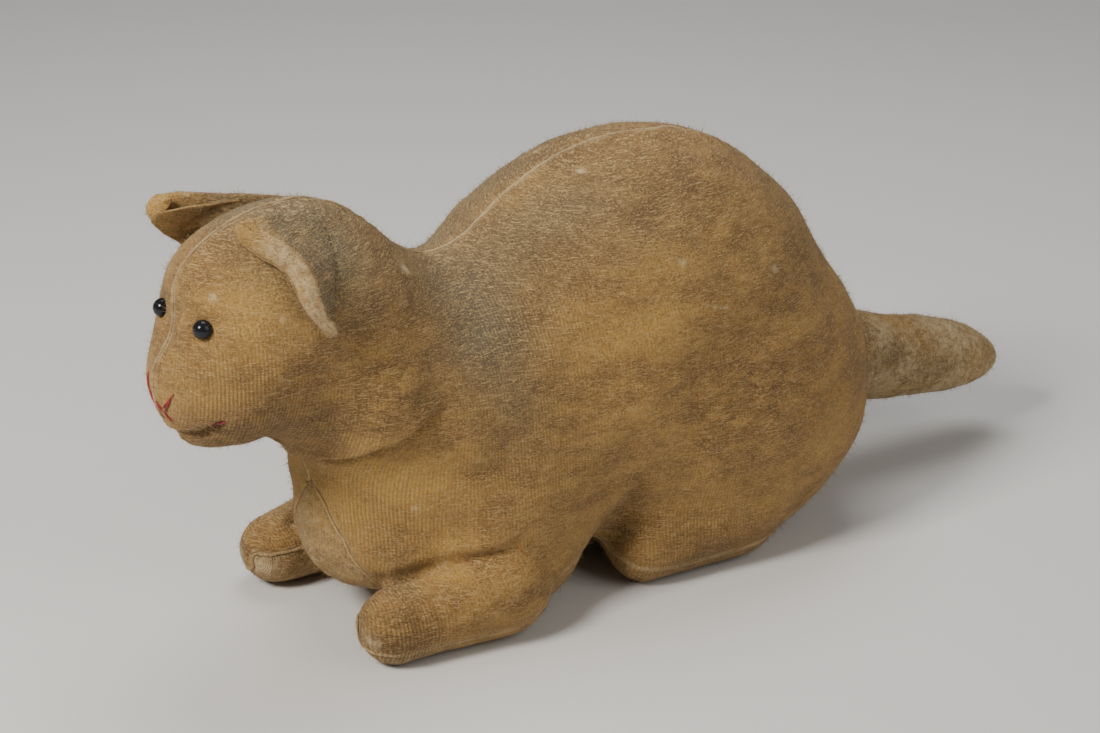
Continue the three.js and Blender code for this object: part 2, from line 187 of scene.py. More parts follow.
def body_field(p):
    """Distance to the cat without its tail and ears; negative inside. Both sides are alike."""
    q = mirrored(p)
    ridge = seam_ridge(q)
    torso = forms_distance(q, TORSO) - 0.8 * ridge
    head = forms_distance(q, HEAD) - ridge
    whole = smooth_min(torso, head, HEAD_BLEND)
    whole = smooth_min(whole, forms_distance(q, FORELEG), FORELEG_BLEND)
    socket = TAIL_ROOT_RADIUS + 0.15 - np.linalg.norm(p - TAIL_PIVOT, axis=1)
    whole = smooth_max(whole, socket, 0.8)
    return smooth_max(whole, SOLE - p[:, 2], 1.5)


def gradient(field, p, step=0.3):
    """The way that the field rises fastest at each point."""
    slope = np.zeros_like(p)
    for axis in range(3):
        shift = np.zeros(3)
        shift[axis] = step
        slope[:, axis] = field(p + shift) - field(p - shift)
    return unit(slope)


def on_surface(field, p, lift=0.0, rounds=4):
    """The points moved onto the field's level, `lift` above it."""
    p = np.array(p, float)
    for _ in range(rounds):
        p = p + gradient(field, p) * (lift - field(p))[:, None]
    return p


# ---- meshing the field ----
def drawn_in(p):
    """Space pulled towards the face, so that an even grid is finer there."""
    out = p - np.array(CLOSE_UP["at"], float)
    gap = (out * out).sum(1, keepdims=True) / CLOSE_UP["reach"] ** 2
    return p - out * CLOSE_UP["gain"] * np.exp(-gap)


def surface_net(field, low, high, pitch):
    """A quad mesh around the field's zero level. X = 0 falls on a row of vertices."""
    first = [(math.floor(low[0] / pitch) - 0.5) * pitch, low[1], low[2]]
    axes = [np.arange(a, b + pitch, pitch) for a, b in zip(first, high)]
    shape = [len(axis) for axis in axes]
    inside = np.zeros(shape, bool)
    y, z = np.meshgrid(axes[1], axes[2], indexing="ij")
    for i, x in enumerate(axes[0]):
        plane = np.stack([np.full(y.size, x), y.ravel(), z.ravel()], 1)
        inside[i] = (field(plane) < 0).reshape(shape[1:])
    count = sum(inside[i : shape[0] - 1 + i, j : shape[1] - 1 + j, k : shape[2] - 1 + k].astype(np.int8)
                for i in (0, 1) for j in (0, 1) for k in (0, 1))
    mixed = (count > 0) & (count < 8)
    index = np.full(mixed.shape, -1)
    index[mixed] = np.arange(mixed.sum())
    points = (np.argwhere(mixed) + 0.5) * pitch + np.array([axis[0] for axis in axes])
    quads = []
    for a in range(3):
        b, c = (a + 1) % 3, (a + 2) % 3
        step = np.eye(3, dtype=int)
        near = np.take(inside, range(shape[a] - 1), axis=a)
        far = np.take(inside, range(1, shape[a]), axis=a)
        at = np.argwhere(near != far)
        at = at[(at[:, b] > 0) & (at[:, c] > 0) & (at[:, b] < shape[b] - 1) & (at[:, c] < shape[c] - 1)]
        ring = [at - step[b] - step[c], at - step[c], at, at - step[b]]
        quad = np.stack([index[tuple(cells.T)] for cells in ring], 1)
        leaving = near[tuple(at.T)]
        quads.append(np.where(leaving[:, None], quad, quad[:, ::-1]))
    return points, np.concatenate(quads)


def edges_of(faces):
    pairs = np.concatenate([np.stack([faces[:, i], faces[:, (i + 1) % faces.shape[1]]], 1)
                            for i in range(faces.shape[1])])
    return np.unique(np.sort(pairs, 1), axis=0)


def neighbour_mean(values, edges):
    """The mean of each vertex's neighbours, for a column or several columns of values."""
    size = len(values)
    many = np.bincount(edges.ravel(), minlength=size)
    columns = values.reshape(size, -1)
    total = [np.bincount(edges[:, 0], columns[edges[:, 1], k], size)
             + np.bincount(edges[:, 1], columns[edges[:, 0], k], size) for k in range(columns.shape[1])]
    return (np.stack(total, 1) / np.maximum(many, 1)[:, None]).reshape(values.shape)


def evened(values, edges, rounds):
    """Values spread out over the mesh, each round to the mean of their neighbours."""
    for _ in range(rounds):
        values = neighbour_mean(values, edges)
    return values


def settle(field, points, faces, rounds=6):
    """Evens out the spacing of the vertices while they stay on the field's level."""
    edges = edges_of(faces)
    for _ in range(rounds):
        points = points + 0.6 * (neighbour_mean(points, edges) - points)
        normal = gradient(field, points)
        points = points - normal * field(points)[:, None]
    return on_surface(field, points, rounds=2)


def face_normals(points, faces):
    a, b, c = (points[faces[:, i]] for i in range(3))
    return np.cross(b - a, c - a)


def vertex_normals(points, faces):
    flat = face_normals(points, faces)
    normal = np.zeros_like(points)
    for i in range(faces.shape[1]):
        for k in range(3):
            normal[:, k] += np.bincount(faces[:, i], flat[:, k], len(points))
    return unit(normal)


def make_mesh(name, points, faces, layers=None):
    """A mesh object in metres, shaded smooth, with named values for each vertex."""
    mesh = bpy.data.meshes.new(name)
    mesh.from_pydata(metres(points).tolist(), [], [list(face) for face in faces])
    mesh.polygons.foreach_set("use_smooth", [True] * len(mesh.polygons))
    for layer, values in (layers or {}).items():
        attribute = mesh.attributes.new(layer, "FLOAT", "POINT")
        attribute.data.foreach_set("value", np.asarray(values, np.float32))
    mesh.update()
    obj = bpy.data.objects.new(name, mesh)
    bpy.context.scene.collection.objects.link(obj)
    return obj


def dress(piece, material, body=None, nodes=()):
    """Gives a piece its material, attaches it to a body if one is given, and hides the CAD parts that it
    stands for."""
    piece.data.materials.append(material)
    if body:
        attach(piece, body)
    if nodes:
        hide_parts(*nodes)


# ---- seams, folds and lumps ----
GUSSET_EDGE = [(-72, 7), (-12, 7), (12, 17), (30, 19), (40, 10), (56, 7), (100, 8), (128, 19), (152, 27)]
GUSSET_INNER = {"half": 30, "top": 15.5, "back": 66}
GUSSET_STRIP = {"z": (12, 25, 36, 52, 54), "half": (21, 20, 15, 1.5, -4), "back": -25}
GUSSET_WEAR = {"soil": 0.25, "worn": 0.35, "throat": -25}  # worn only in front of the throat's Y


def gusset_field(p):
    """Negative inside the gusset, in millimetres or nearly so."""
    edge_y, edge_z = zip(*GUSSET_EDGE)
    across = np.abs(p[:, 0])
    under = p[:, 2] - np.interp(p[:, 1], edge_y, edge_z)
    inner = np.maximum(np.maximum(across - GUSSET_INNER["half"], p[:, 2] - GUSSET_INNER["top"]),
                       p[:, 1] - GUSSET_INNER["back"])
    half = np.interp(p[:, 2], GUSSET_STRIP["z"], GUSSET_STRIP["half"])
    strip = np.maximum(across - half, p[:, 1] - GUSSET_STRIP["back"])
    return smooth_min(smooth_min(under, inner, 5), strip, 5)


def snap_to_edge(points, faces, values):
    """Moves the vertices nearest to the line values = 0 onto it, and returns the new points and values."""
    edges = edges_of(faces)
    a, b = edges.T
    cross = (values[a] * values[b]) < 0
    a, b = a[cross], b[cross]
    swap = np.abs(values[a]) > np.abs(values[b])
    near, far = np.where(swap, b, a), np.where(swap, a, b)
    share = values[near] / (values[near] - values[far])
    order = np.argsort(-np.abs(share))
    near, far, share = near[order], far[order], share[order]
    moved = points.copy()
    moved[near] = points[near] + (points[far] - points[near]) * share[:, None]
    snapped = values.copy()
    snapped[near] = 0
    return moved, snapped


def waves(p, wavelength, seed, count=28):
    """Smooth noise: a sum of plane waves in random directions, of height about 1."""
    rng = np.random.default_rng(seed)
    way = unit(rng.normal(size=(count, 3)))
    rate = 2 * math.pi / (wavelength * rng.uniform(0.7, 1.4, count))
    phase = rng.uniform(0, 2 * math.pi, count)
    return np.sin(p @ (way * rate[:, None]).T + phase).sum(1) / math.sqrt(count)


def wale_count(points, faces, rounds=400):
    """How far each vertex lies along the cloth's length, in millimetres, so that ribs drawn at equal
    steps of it stand upright on the cat's sides and keep their spacing round its ends."""
    edges = edges_of(faces)
    normal = vertex_normals(points, faces)
    side = np.where(points[:, :1] < 0, -1.0, 1.0)
    mirrored = normal * np.concatenate([side, np.ones((len(side), 2))], 1)
    lengthwise = np.array((0, 1.0, 0)) - mirrored[:, 1:2] * mirrored
    level = np.stack([-mirrored[:, 1], mirrored[:, 0], np.zeros(len(mirrored))], 1)
    way = lengthwise + 1.5 * mirrored[:, 1:2] ** 4 * level
    way = unit(way)
    way[:, 0] *= side[:, 0]
    a, b = edges.T
    wanted = ((way[a] + way[b]) * (points[b] - points[a])).sum(1) / 2

    def spread(values):
        difference = values[b] - values[a]
        return np.bincount(b, difference, len(points)) - np.bincount(a, difference, len(points))

    count = points[:, 1].copy()
    rest = np.bincount(b, wanted, len(points)) - np.bincount(a, wanted, len(points)) - spread(count)
    way_on, size = rest.copy(), rest @ rest
    for _ in range(rounds):
        pushed = spread(way_on)
        step = size / (way_on @ pushed)
        count += step * way_on
        rest -= step * pushed
        new_size = rest @ rest
        way_on = rest + way_on * (new_size / size)
        size = new_size
    return count


def open_edges(faces):
    """The edges of quads that have a face on one side only, each in its own face's direction."""
    directed = np.concatenate([np.stack([faces[:, i], faces[:, (i + 1) % 4]], 1) for i in range(4)])
    directed = [tuple(edge) for edge in directed.tolist()]
    known = set(directed)
    return [(a, b) for a, b in directed if (b, a) not in known and a != b]


def shell(points, faces, thickness):
    """A closed sheet of cloth: the given outer face, an inner one and the rim between them. Returns
    its points and faces, and which of the given points it uses."""
    used = np.unique(faces)
    new = np.full(len(points), -1)
    new[used] = np.arange(len(used))
    outer, faces = points[used], new[faces]
    inner = outer - vertex_normals(outer, faces) * thickness
    rim = np.array(open_edges(faces))
    size = len(outer)
    walls = np.stack([rim[:, 1], rim[:, 0], rim[:, 0] + size, rim[:, 1] + size], 1)
    return np.concatenate([outer, inner]), np.concatenate([faces, faces[:, ::-1] + size, walls]), used


def on_both_faces(layers, used):
    """A sheet's named values for the points of its outer face and then for those of its inner one."""
    return {key: np.concatenate([value[used], value[used]]) for key, value in layers.items()}


# ---- materials ----
class Graph:
    """A material's node tree, with short names for the nodes that the materials here use."""

    def __init__(self, name):
        self.material = bpy.data.materials.new(name)
        self.material.use_nodes = True
        self.tree = self.material.node_tree
        self.shader = self.tree.nodes["Principled BSDF"]
        self.place = self.tree.nodes.new("ShaderNodeTexCoord").outputs["Object"]

    def node(self, kind, inputs=None, **settings):
        node = self.tree.nodes.new(kind)
        for key, value in settings.items():
            setattr(node, key, value)
        for key, value in (inputs or {}).items():
            self.put(value, node.inputs[key])
        return node

    def put(self, value, socket):
        if isinstance(value, bpy.types.NodeSocket):
            self.tree.links.new(value, socket)
        else:
            socket.default_value = value

    def attribute(self, name):
        return self.node("ShaderNodeAttribute", attribute_name=name).outputs["Fac"]

    def noise(self, scale, detail=3.0, roughness=0.55, distortion=0.0, place=None):
        inputs = {"Vector": place or self.place, "Scale": scale, "Detail": detail,
                  "Roughness": roughness, "Distortion": distortion}
        return self.node("ShaderNodeTexNoise", inputs).outputs["Fac"]

    def stretched(self, turn, scale):
        """The place turned and scaled, so that a noise drawn at it runs in one direction."""
        inputs = {"Vector": self.place, "Rotation": turn, "Scale": scale}
        return self.node("ShaderNodeMapping", inputs).outputs["Vector"]

    def math(self, operation, a, b=0.0, clamp=False):
        node = self.node("ShaderNodeMath", {0: a, 1: b}, operation=operation)
        node.use_clamp = clamp
        return node.outputs[0]

    def times(self, a, b, clamp=False):
        return self.math("MULTIPLY", a, b, clamp)

    def plus(self, a, b):
        return self.math("ADD", a, b)

    def remap(self, value, low, high, to_low=0.0, to_high=1.0):
        inputs = {"Value": value, "From Min": low, "From Max": high, "To Min": to_low, "To Max": to_high}
        return self.node("ShaderNodeMapRange", inputs, interpolation_type="SMOOTHSTEP").outputs["Result"]

    def mix(self, share, a, b):
        node = self.node("ShaderNodeMix", data_type="RGBA")
        self.put(share, node.inputs["Factor"])
        for value, socket in ((a, "A"), (b, "B")):
            socket = [s for s in node.inputs if s.name == socket and s.type == "RGBA"][0]
            self.put(value if isinstance(value, bpy.types.NodeSocket) else (*value, 1), socket)
        return [s for s in node.outputs if s.type == "RGBA"][0]

    def bump(self, height, distance, strength):
        inputs = {"Height": height, "Distance": distance, "Strength": strength}
        return self.node("ShaderNodeBump", inputs).outputs["Normal"]

    def finish(self, **sockets):
        for name, value in sockets.items():
            self.put(value, self.shader.inputs[name.replace("_", " ")])
        return self.material


GOLD = (0.36, 0.195, 0.062)
BROWN = (0.185, 0.098, 0.036)
GREY = (0.19, 0.15, 0.092)
PALE = (0.68, 0.52, 0.30)
YELLOW = (0.58, 0.335, 0.085)
NAP = (0.60, 0.41, 0.18)
SHADOW = (0.045, 0.026, 0.012)
NAP_TURNS = ((0.9, 0.3, 0.2), (-0.5, 0.9, 0.4))  # the two ways that the pile is brushed


def brushed_nap(g):
    """The pile's strokes, short and long, brushed two ways."""
    short = [g.noise(900, 2, 0.6, 0.15, g.stretched(turn, (1, 1, 4.0))) for turn in NAP_TURNS]
    long = [g.noise(260, 3, 0.7, 0.1, g.stretched(turn, (1, 1, 11.0))) for turn in NAP_TURNS]
    return g.math("MAXIMUM", g.math("MAXIMUM", *short), g.plus(g.math("MAXIMUM", *long), 0.015))


def ribs(g, mottle, speck):
    """The cloth's ribs, from -1 to 1, broken up where the pile is matted or gone."""
    turn = g.times(g.plus(g.attribute("wale"), g.times(mottle, 0.5)), 2 * math.pi / WALE)
    broken = g.times(g.remap(speck, 0.3, 0.65, 0.35, 1.0), g.remap(mottle, 0.3, 0.7, 0.4, 1.0))
    return g.times(g.math("SINE", turn), g.times(broken, g.attribute("ribbed")))


def pile_colour_painted_shade_and_highlight(g, mottle, brushed):
    """The pile's colour: golden or brown by the tone and random patches, grey where it is soiled. The tone's
    brown is partly painted shade, and its golden is partly a painted highlight.
    """
    patches = g.noise(30, 4, 0.6, 0.4, brushed)
    # negative tone gives brown, partly painted shade; positive tone gives yellow, partly painted highlight
    warmth_painted_shade_and_highlight = g.plus(g.attribute("tone"), g.remap(patches, 0.3, 0.7, 0.55, -0.6))
    colour = g.mix(g.times(warmth_painted_shade_and_highlight, -0.9, clamp=True), GOLD, BROWN)
    colour = g.mix(g.remap(mottle, 0.46, 0.68, 0.0, 0.55), colour, YELLOW)
    colour = g.mix(g.remap(mottle, 0.52, 0.32, 0.0, 0.42), colour, BROWN)
    colour = g.mix(g.times(warmth_painted_shade_and_highlight, 0.85, clamp=True), colour, YELLOW)
    grime = g.times(g.attribute("soil"), g.remap(mottle, 0.25, 0.6, 0.65, 1.0), clamp=True)
    return g.mix(grime, colour, GREY)


def rubbed(g, mottle, speck):
    """How far the pile is rubbed down to the pale ground, along the seams and in ragged spots."""
    ragged = g.math("SUBTRACT", g.noise(420, 4, 0.7, 0.3), 0.5)
    worn = g.remap(g.plus(g.attribute("worn"), g.times(ragged, 1.6)), 0.2, 0.95)
    edge = g.times(g.remap(g.attribute("seam"), 1.5, 0.2), g.remap(mottle, 0.3, 0.6, 0.25, 0.9))
    return g.times(g.math("MAXIMUM", edge, worn), g.remap(speck, 0.25, 0.6, 0.55, 1.0), clamp=True)


def velveteen():
    """Soiled old velveteen: fine ribs, a napped pile that catches the light, stains and rubbed spots, with
    painted shade and highlights.
    """
    g = Graph("velveteen_cloth")
    brushed = g.stretched(NAP_TURNS[0], (1, 1, 2.2))
    mottle = g.noise(95, 5, 0.62, 0.3, brushed)
    speck = g.noise(1300, 2, 0.6)
    nap, rib = brushed_nap(g), ribs(g, mottle, speck)
    colour = pile_colour_painted_shade_and_highlight(g, mottle, brushed)
    colour = g.mix(g.remap(speck, 0.64, 0.34, 0.0, 0.42), colour, SHADOW)
    colour = g.mix(g.times(rubbed(g, mottle, speck), 0.9), colour, PALE)
    colour = g.mix(g.remap(nap, 0.57, 0.70, 0.0, 0.85), colour, NAP)
    colour = g.mix(g.remap(rib, -0.75, 0.15, 0.55, 0.0), colour, SHADOW)
    height = g.plus(g.times(rib, 0.32), g.times(speck, 0.35))
    height = g.plus(height, g.times(nap, 0.8))
    height = g.plus(height, g.times(g.noise(3000, 2, 0.6), 0.30))
    g.shader.inputs["Sheen Weight"].default_value = 0.14
    g.shader.inputs["Sheen Roughness"].default_value = 0.4
    g.shader.inputs["Sheen Tint"].default_value = (0.95, 0.86, 0.70, 1)
    g.shader.inputs["Specular IOR Level"].default_value = 0.2
    rough = g.remap(speck, 0.2, 0.8, 0.82, 0.97)
    return g.finish(Base_Color=colour, Roughness=rough, Normal=g.bump(height, 0.0011, 0.9))


def simple_cloth(name, colour, dark, scale):
    """Plain fibres or thread: two tones and a fine bump at the given scale."""
    g = Graph(name)
    tone = g.mix(g.remap(g.noise(scale / 8), 0.3, 0.7), colour, dark)
    g.shader.inputs["Sheen Weight"].default_value = 0.2
    return g.finish(Base_Color=tone, Roughness=g.remap(g.noise(scale), 0.2, 0.8, 0.7, 0.95),
                    Normal=g.bump(g.noise(scale, 4), 0.0004, 0.8))


def bead_glass():
    g = Graph("black_bead_glass")
    dust = g.remap(g.noise(900, 4, 0.7), 0.4, 0.8, 0.07, 0.3)
    g.shader.inputs["Specular IOR Level"].default_value = 0.32
    colour = g.mix(g.noise(500), (0.006, 0.007, 0.009), (0.016, 0.017, 0.02))
    return g.finish(Base_Color=colour, Roughness=dust)


# ---- stage ----
FLOOR_SIZE = 3.0  # metres
CAMERA = {"azimuth": 54, "elevation": 23, "distance": 1.0, "lens": 99, "aim": (0, 37, 68)}
LIGHTS = [  # (name, metres across, back and up from the aim, size, power, colour)
    ("key", (-0.6, 0.65, 0.45), 0.3, 12.2, (1, 0.96, 0.9)),
    ("fill", (0.9, 0.6, 0.4), 0.9, 4.6, (1, 0.98, 0.95)),
    ("top", (0, -0.3, 0.9), 0.5, 3.2, (1, 1, 1)),
]
WORLD = {"Color": (0.80, 0.82, 0.85, 1), "Strength": 0.13}


def add_stage():
    bpy.ops.mesh.primitive_plane_add(size=FLOOR_SIZE)
    floor = bpy.context.object
    floor.name = "floor"
    g = Graph("pale_floor")
    tone = g.mix(g.noise(3), (0.72, 0.71, 0.69), (0.76, 0.75, 0.73))
    floor.data.materials.append(g.finish(Base_Color=tone, Roughness=0.9))


def placed(name, data, at, back):
    """A camera or light that stands at a place and looks the other way from `back`."""
    obj = bpy.data.objects.new(name, data)
    obj.location = at
    obj.rotation_euler = back.to_track_quat("Z", "Y").to_euler()
    bpy.context.scene.collection.objects.link(obj)
    return obj


def add_camera():
    """The camera and the lights, which stand round the same aim."""
    azimuth, elevation = math.radians(CAMERA["azimuth"]), math.radians(CAMERA["elevation"])
    back = Vector((math.sin(azimuth) * math.cos(elevation), -math.cos(azimuth) * math.cos(elevation),
                   math.sin(elevation)))
    across = Vector((math.cos(azimuth), math.sin(azimuth), 0))
    aim = Vector(metres(CAMERA["aim"]))
    camera = bpy.data.cameras.new("camera")
    camera.lens = CAMERA["lens"]
    camera.sensor_width = 36
    camera.clip_end = 20
    bpy.context.scene.camera = placed("camera", camera, aim + back * CAMERA["distance"], back)
    for name, ways, size, power, colour in LIGHTS:
        light = bpy.data.lights.new(name, "AREA")
        light.size = size
        light.energy = power
        light.color = colour
        off = across * ways[0] + back * ways[1] + Vector((0, 0, 1)) * ways[2]
        placed(name, light, aim + off, off)


def add_world():
    world = bpy.data.worlds.new("world")
    world.use_nodes = True
    for name, value in WORLD.items():
        world.node_tree.nodes["Background"].inputs[name].default_value = value
    bpy.context.scene.world = world


# ---- pieces ----
SOIL = [  # (where, radius, strength): places that handling has turned grey
    ((12, -66, 147), 22, 1.0),
    ((30, -60, 134), 17, 0.6),
    ((16, -8, 121), 24, 0.85),
    ((34, -12, 98), 17, 0.75),
    ((40, -6, 76), 12, 0.4),
    ((20, 26, 133), 20, 0.5),
    ((26, 50, 134), 26, 0.3),
    ((24, 118, 118), 26, 0.25),
    ((33, -46, 27), 7, 0.5),
    ((0, -50, 34), 9, 0.6),
]
WORN = [  # (where, radius, strength): places rubbed down to the pale ground
    ((45, 56, 115), 2.2, 1.0),
    ((45, 94.5, 104), 2.4, 0.9),
    ((12.5, 40, 140), 1.8, 1.0),
    ((19, -32, 124), 2.6, 0.8),
    ((17, -30, 127), 2.0, 0.7),
    ((14, -96, 128), 1.8, 1.0),
    ((27, -83, 123), 1.6, 0.8),
    ((30, -82, 123), 1.4, 0.8),
    ((31, -38, 49), 1.8, 0.8),
    ((38, -60, 12), 4.0, 0.75),
    ((27, -58, 11), 4.0, 0.6),
    ((36, -30, 31), 4.5, 0.45),
]
# Some of these spots are painted light and shade. The brown in the eye sockets, under the mouth, under the
# jaw and round the neck is painted shade. The golden on the forehead, on top of the forepaws and on the
# forelegs under their crease is a painted highlight. The rest warm or darken the cloth itself: golden on the
# chest where it stayed clean, and darker at the rump, on the cheek, low on the sides and along the top.
TONE_PAINTED_SHADE_AND_HIGHLIGHT = [  # (where, radius, strength): golden where positive, brown where negative
    ((14.3, -100.6, 119.3), 4.5, -0.9),
    ((12, -54, 46), 20, 1.1),
    ((22, -48, 62), 13, 1.2),
    ((34, -38, 62), 12, 0.7),
    ((38, -30, 46), 14, 0.4),
    ((38, -33, 31), 9, 1.3),
    ((26, -89, 125), 17, 0.9),
    ((8, -107, 100), 10, 0.5),
    ((46, 38, 106), 22, 0.5),
    ((50, 61, 32), 18, 0.5),
    ((46, 5, 38), 14, 0.4),
    ((28, -82, 100), 15, -0.7),
    ((32, -12, 102), 20, -0.5),
    ((20, -82, 82), 17, -0.9),
    ((12, -70, 73), 17, -1.2),
    ((38, -50, 92), 16, -0.5),
    ((58, 75, 56), 20, -0.5),
    ((48, 64, 8), 20, -0.5),
    ((41, -50, 14), 17, -1.1),
    ((12, -100, 84), 6, -1.4),
    ((38, -50, 22), 8, 0.8),
    ((10, -50, 140), 26, -0.8),
    ((20, 60, 135), 30, -0.6),
    ((34, -62, 140), 20, -0.3),
    ((30, -20, 112), 18, -0.4),
    ((52, 120, 50), 14, 0.5),
    ((44, 20, 85), 12, 0.35),
    ((43, -4, 70), 15, -0.3),
    ((55, 107, 68), 18, -0.2),
    ((40, 120, 30), 22, -0.2),
]
RIBBED = [  # (where, radius, strength): places where the ribs still show
    ((22, -82, 80), 20, 1.0),
    ((42, -50, 4), 13, 0.9),
    ((28, -60, 14), 10, 0.3),
    ((22, -94, 100), 14, 0.4),
    ((24, -46, 48), 20, 0.6),
    ((42, -50, 14), 16, 0.3),
    ((46, 60, 10), 24, 0.6),
    ((45, 0, 60), 22, 0.35),
    ((30, 0, 105), 22, 0.3),
]
NO_SEAM = 9.0  # a distance from a seam at which its wear has ended
SCRATCHES = [  # pale lines left in the pile
    [(50, 60, 101), (52, 78, 95), (53, 96, 88)],
    [(52, 62, 94), (54, 80, 88), (55, 98, 80)],
    [(40, 24, 112), (46, 44, 105), (50, 60, 97)],
    [(34, 36, 122), (42, 56, 117), (46, 74, 110)],
    [(56, 96, 60), (55, 112, 52), (50, 126, 44)],
]


def painted(points, spots):
    """How much of each soft round spot a point has, on both sides alike."""
    across = mirrored(points)
    total = np.zeros(len(points))
    for where, radius, strength in spots:
        total += strength * spot(across, where, radius)
    return np.clip(total, -1.2, 1.2)


def surface_layers(points, wale, seam, soil=0.0, worn=0.0):
    """The named values that the velveteen reads at each vertex. The tone is darkened where the folds and
    dimples draw the cloth in, as painted shade.
    """
    size = len(points)
    marks = np.zeros(size)
    for path in SCRATCHES:
        gap, _ = to_path(mirrored(points), path)
        marks = np.maximum(marks, 0.6 * np.exp(-(gap / 0.7) ** 2))
    return {
        "wale": np.broadcast_to(wale, size),
        "seam": np.broadcast_to(seam, size),
        "soil": np.clip(painted(points, SOIL) + soil, 0, 1),
        "worn": np.clip(np.maximum(painted(points, WORN), marks) + worn, 0, 1),
        # painted shade: the tone darkens wherever the folds and dimples draw the cloth in
        "tone": painted(points, TONE_PAINTED_SHADE_AND_HIGHLIGHT) - 0.45 * np.maximum(drawn_depth(points), 0),
        "ribbed": np.clip(0.12 + painted(points, RIBBED), 0, 1),
    }


CREASES = [  # (path, depth, width, bulge): the cloth is drawn in along the path and bulges above it
    ([(0, -104.5, 81), (6, -102.5, 82), (11, -99.6, 84.5), (16, -98.5, 87), (20.3, -96.6, 91.6)],
     3.0, 1.4, 0.6),
    ([(0, -62, 60), (12, -61, 63), (20.6, -56, 66.3), (31, -50, 72.6), (37, -35, 81), (38, -26, 86)],
     3.3, 1.5, 1.6),
    ([(21, -47, 22), (28, -47, 24.5), (34, -34, 29.7), (44.7, -15, 32.9), (48, -3, 34)], 2.8, 1.5, 1.3),
    ([(30, 36, 14), (37, 36, 22), (43, 38, 34), (47, 42, 46)], 1.8, 4.0, 0),
    ([(0, -13, 122), (16, -12, 116), (30, -14, 103), (36, -20, 90)], 0.9, 8, 0),
    ([(30, -44, 60), (40, -26, 62), (46, -6, 58)], 0.7, 3.5, 0.4),
    ([(26, -50, 44), (38, -30, 42), (46, -12, 40)], 0.6, 4, 0.3),
    ([(0, -109, 112), (6, -108, 112), (11, -105, 111)], 0.9, 5, 0),
    ([(0, -107, 120), (4, -107, 120), (7, -106, 119)], 1.9, 8, 0),
    ([(0, -97, 76), (10, -92, 76), (20, -82, 76), (26, -70, 74)], -1.3, 6, 0),
]
DIMPLES = [  # (where, depth, radius); a negative depth is a swelling
    ((14.3, -100.6, 119.3), 0.9, 4.0),
    ((9, -107, 94), -0.4, 8),
    ((6, -99, 77), -1.4, 6),
    ((2, 152, 41), 1.2, 16),
]


def to_path(points, path):
    """Each point's distance to a broken line, and how far along the line, from 0 to 1, it is nearest."""
    path = np.array(path, float)
    lengths = np.linalg.norm(np.diff(path, axis=0), axis=1)
    starts = np.concatenate([[0], np.cumsum(lengths)])
    best = np.full(len(points), 1e9)
    along = np.zeros(len(points))
    for i, length in enumerate(lengths):
        way = (path[i + 1] - path[i]) / length
        t = np.clip((points - path[i]) @ way, 0, length)
        out = points - path[i] - t[:, None] * way
        gap = np.linalg.norm(out, axis=1)
        along = np.where(gap < best, (starts[i] + t) / starts[-1], along)
        best = np.where(gap < best, gap, best)
    return best, along


def height_over(points, path):
    """How far each point lies above a broken line, by the height of the line's nearest part along Y."""
    order = np.argsort([place[1] for place in path])
    rows = np.array(path, float)[order]
    return points[:, 2] - np.interp(points[:, 1], rows[:, 1], rows[:, 2])


def drawn_depth(points):
    """How far the folds and dimples draw each point in."""
    across = mirrored(points)
    depth = np.zeros(len(points))
    for path, deep, width, bulge in CREASES:
        gap, along = to_path(across, path)
        starts_inside = path[0][0] > 0
        fade = np.clip((1 - along) / 0.3, 0, 1)
        fade = np.minimum(fade, np.clip(along / 0.2, 0, 1)) if starts_inside else fade
        fade = fade * fade * (3 - 2 * fade)
        depth += deep * np.exp(-(gap / width) ** 2) * fade
        if bulge:
            above = 1 / (1 + np.exp(-height_over(across, path) / 0.6))
            depth -= bulge * above * np.exp(-((gap - 2.2 * width) / (2 * width)) ** 2) * fade
    for where, deep, radius in DIMPLES:
        depth += deep * spot(across, where, radius)
    return depth


NUDGES = [  # (where, reach, move): where the two sides of this cat differ, or the stuffing has shifted
    ((-34, -57, 13), 14, (-0.6, -2.6, 0.6)),
    ((-18, -50, 52), 10, (-2.0, -2.4, 0)),
    ((22, 150, 88), 26, (0.4, 1.3, 0.5)),
    ((-6, -105.5, 121), 9, (0.6, 2.2, -0.3)),
    ((-5, -108, 113), 8, (0.6, 2.8, 0)),
    ((-11, -105.5, 114), 9, (1.0, 2.6, 0)),
]


def nudged(points):
    """How far the nudges move each point."""
    return sum(spot(points, where, reach)[:, None] * np.array(way) for where, reach, way in NUDGES)


def lumps(points, seam):
    """How far the stuffing pushes each point out, and the seams and folds draw it in."""
    settled = np.clip(seam / 8, 0, 1)
    slow = 0.6 * waves(points, 42, 3) + 0.25 * waves(points, 19, 5) + 0.08 * waves(points, 8, 8)
    calm = 0.4 + 0.6 * np.clip((points[:, 1] + 112) / 40, 0, 1)
    return slow * calm * (0.4 + 0.6 * settled) - 0.55 * np.exp(-(seam / 1.5) ** 2) - drawn_depth(points)


def open_loops(faces):
    """The open edges of the faces, as closed rows of vertices in order."""
    after = dict(open_edges(faces))
    loops = []
    while after:
        start, nxt = after.popitem()
        row = [start]
        while nxt in after:
            row.append(nxt)
            nxt = after.pop(nxt)
        row.append(nxt)
        loops.append(row)
    return sorted(loops, key=len, reverse=True)


# The cloth simulation: how much too small the skin starts, the most that a place moves, the coarse
# copy's voxels and how far from a seam it is held, then Blender's own settings.
SWELL = {"start": 0.35, "cap": 1.4, "voxel": 5.0, "held": 3.5, "pressure": 200, "mass": 0.0003,
         "stiffness": 3, "frames": 20}


def tree_of(places):
    tree = KDTree(len(places))
    for i, place in enumerate(places):
        tree.insert(place, i)
    tree.balance()
    return tree


def places_of(mesh):
    """A mesh's vertices in millimetres, from the row frame's origin."""
    flat = np.empty(len(mesh.vertices) * 3, np.float32)
    mesh.vertices.foreach_get("co", flat)
    return flat.reshape(-1, 3).astype(float) / MM


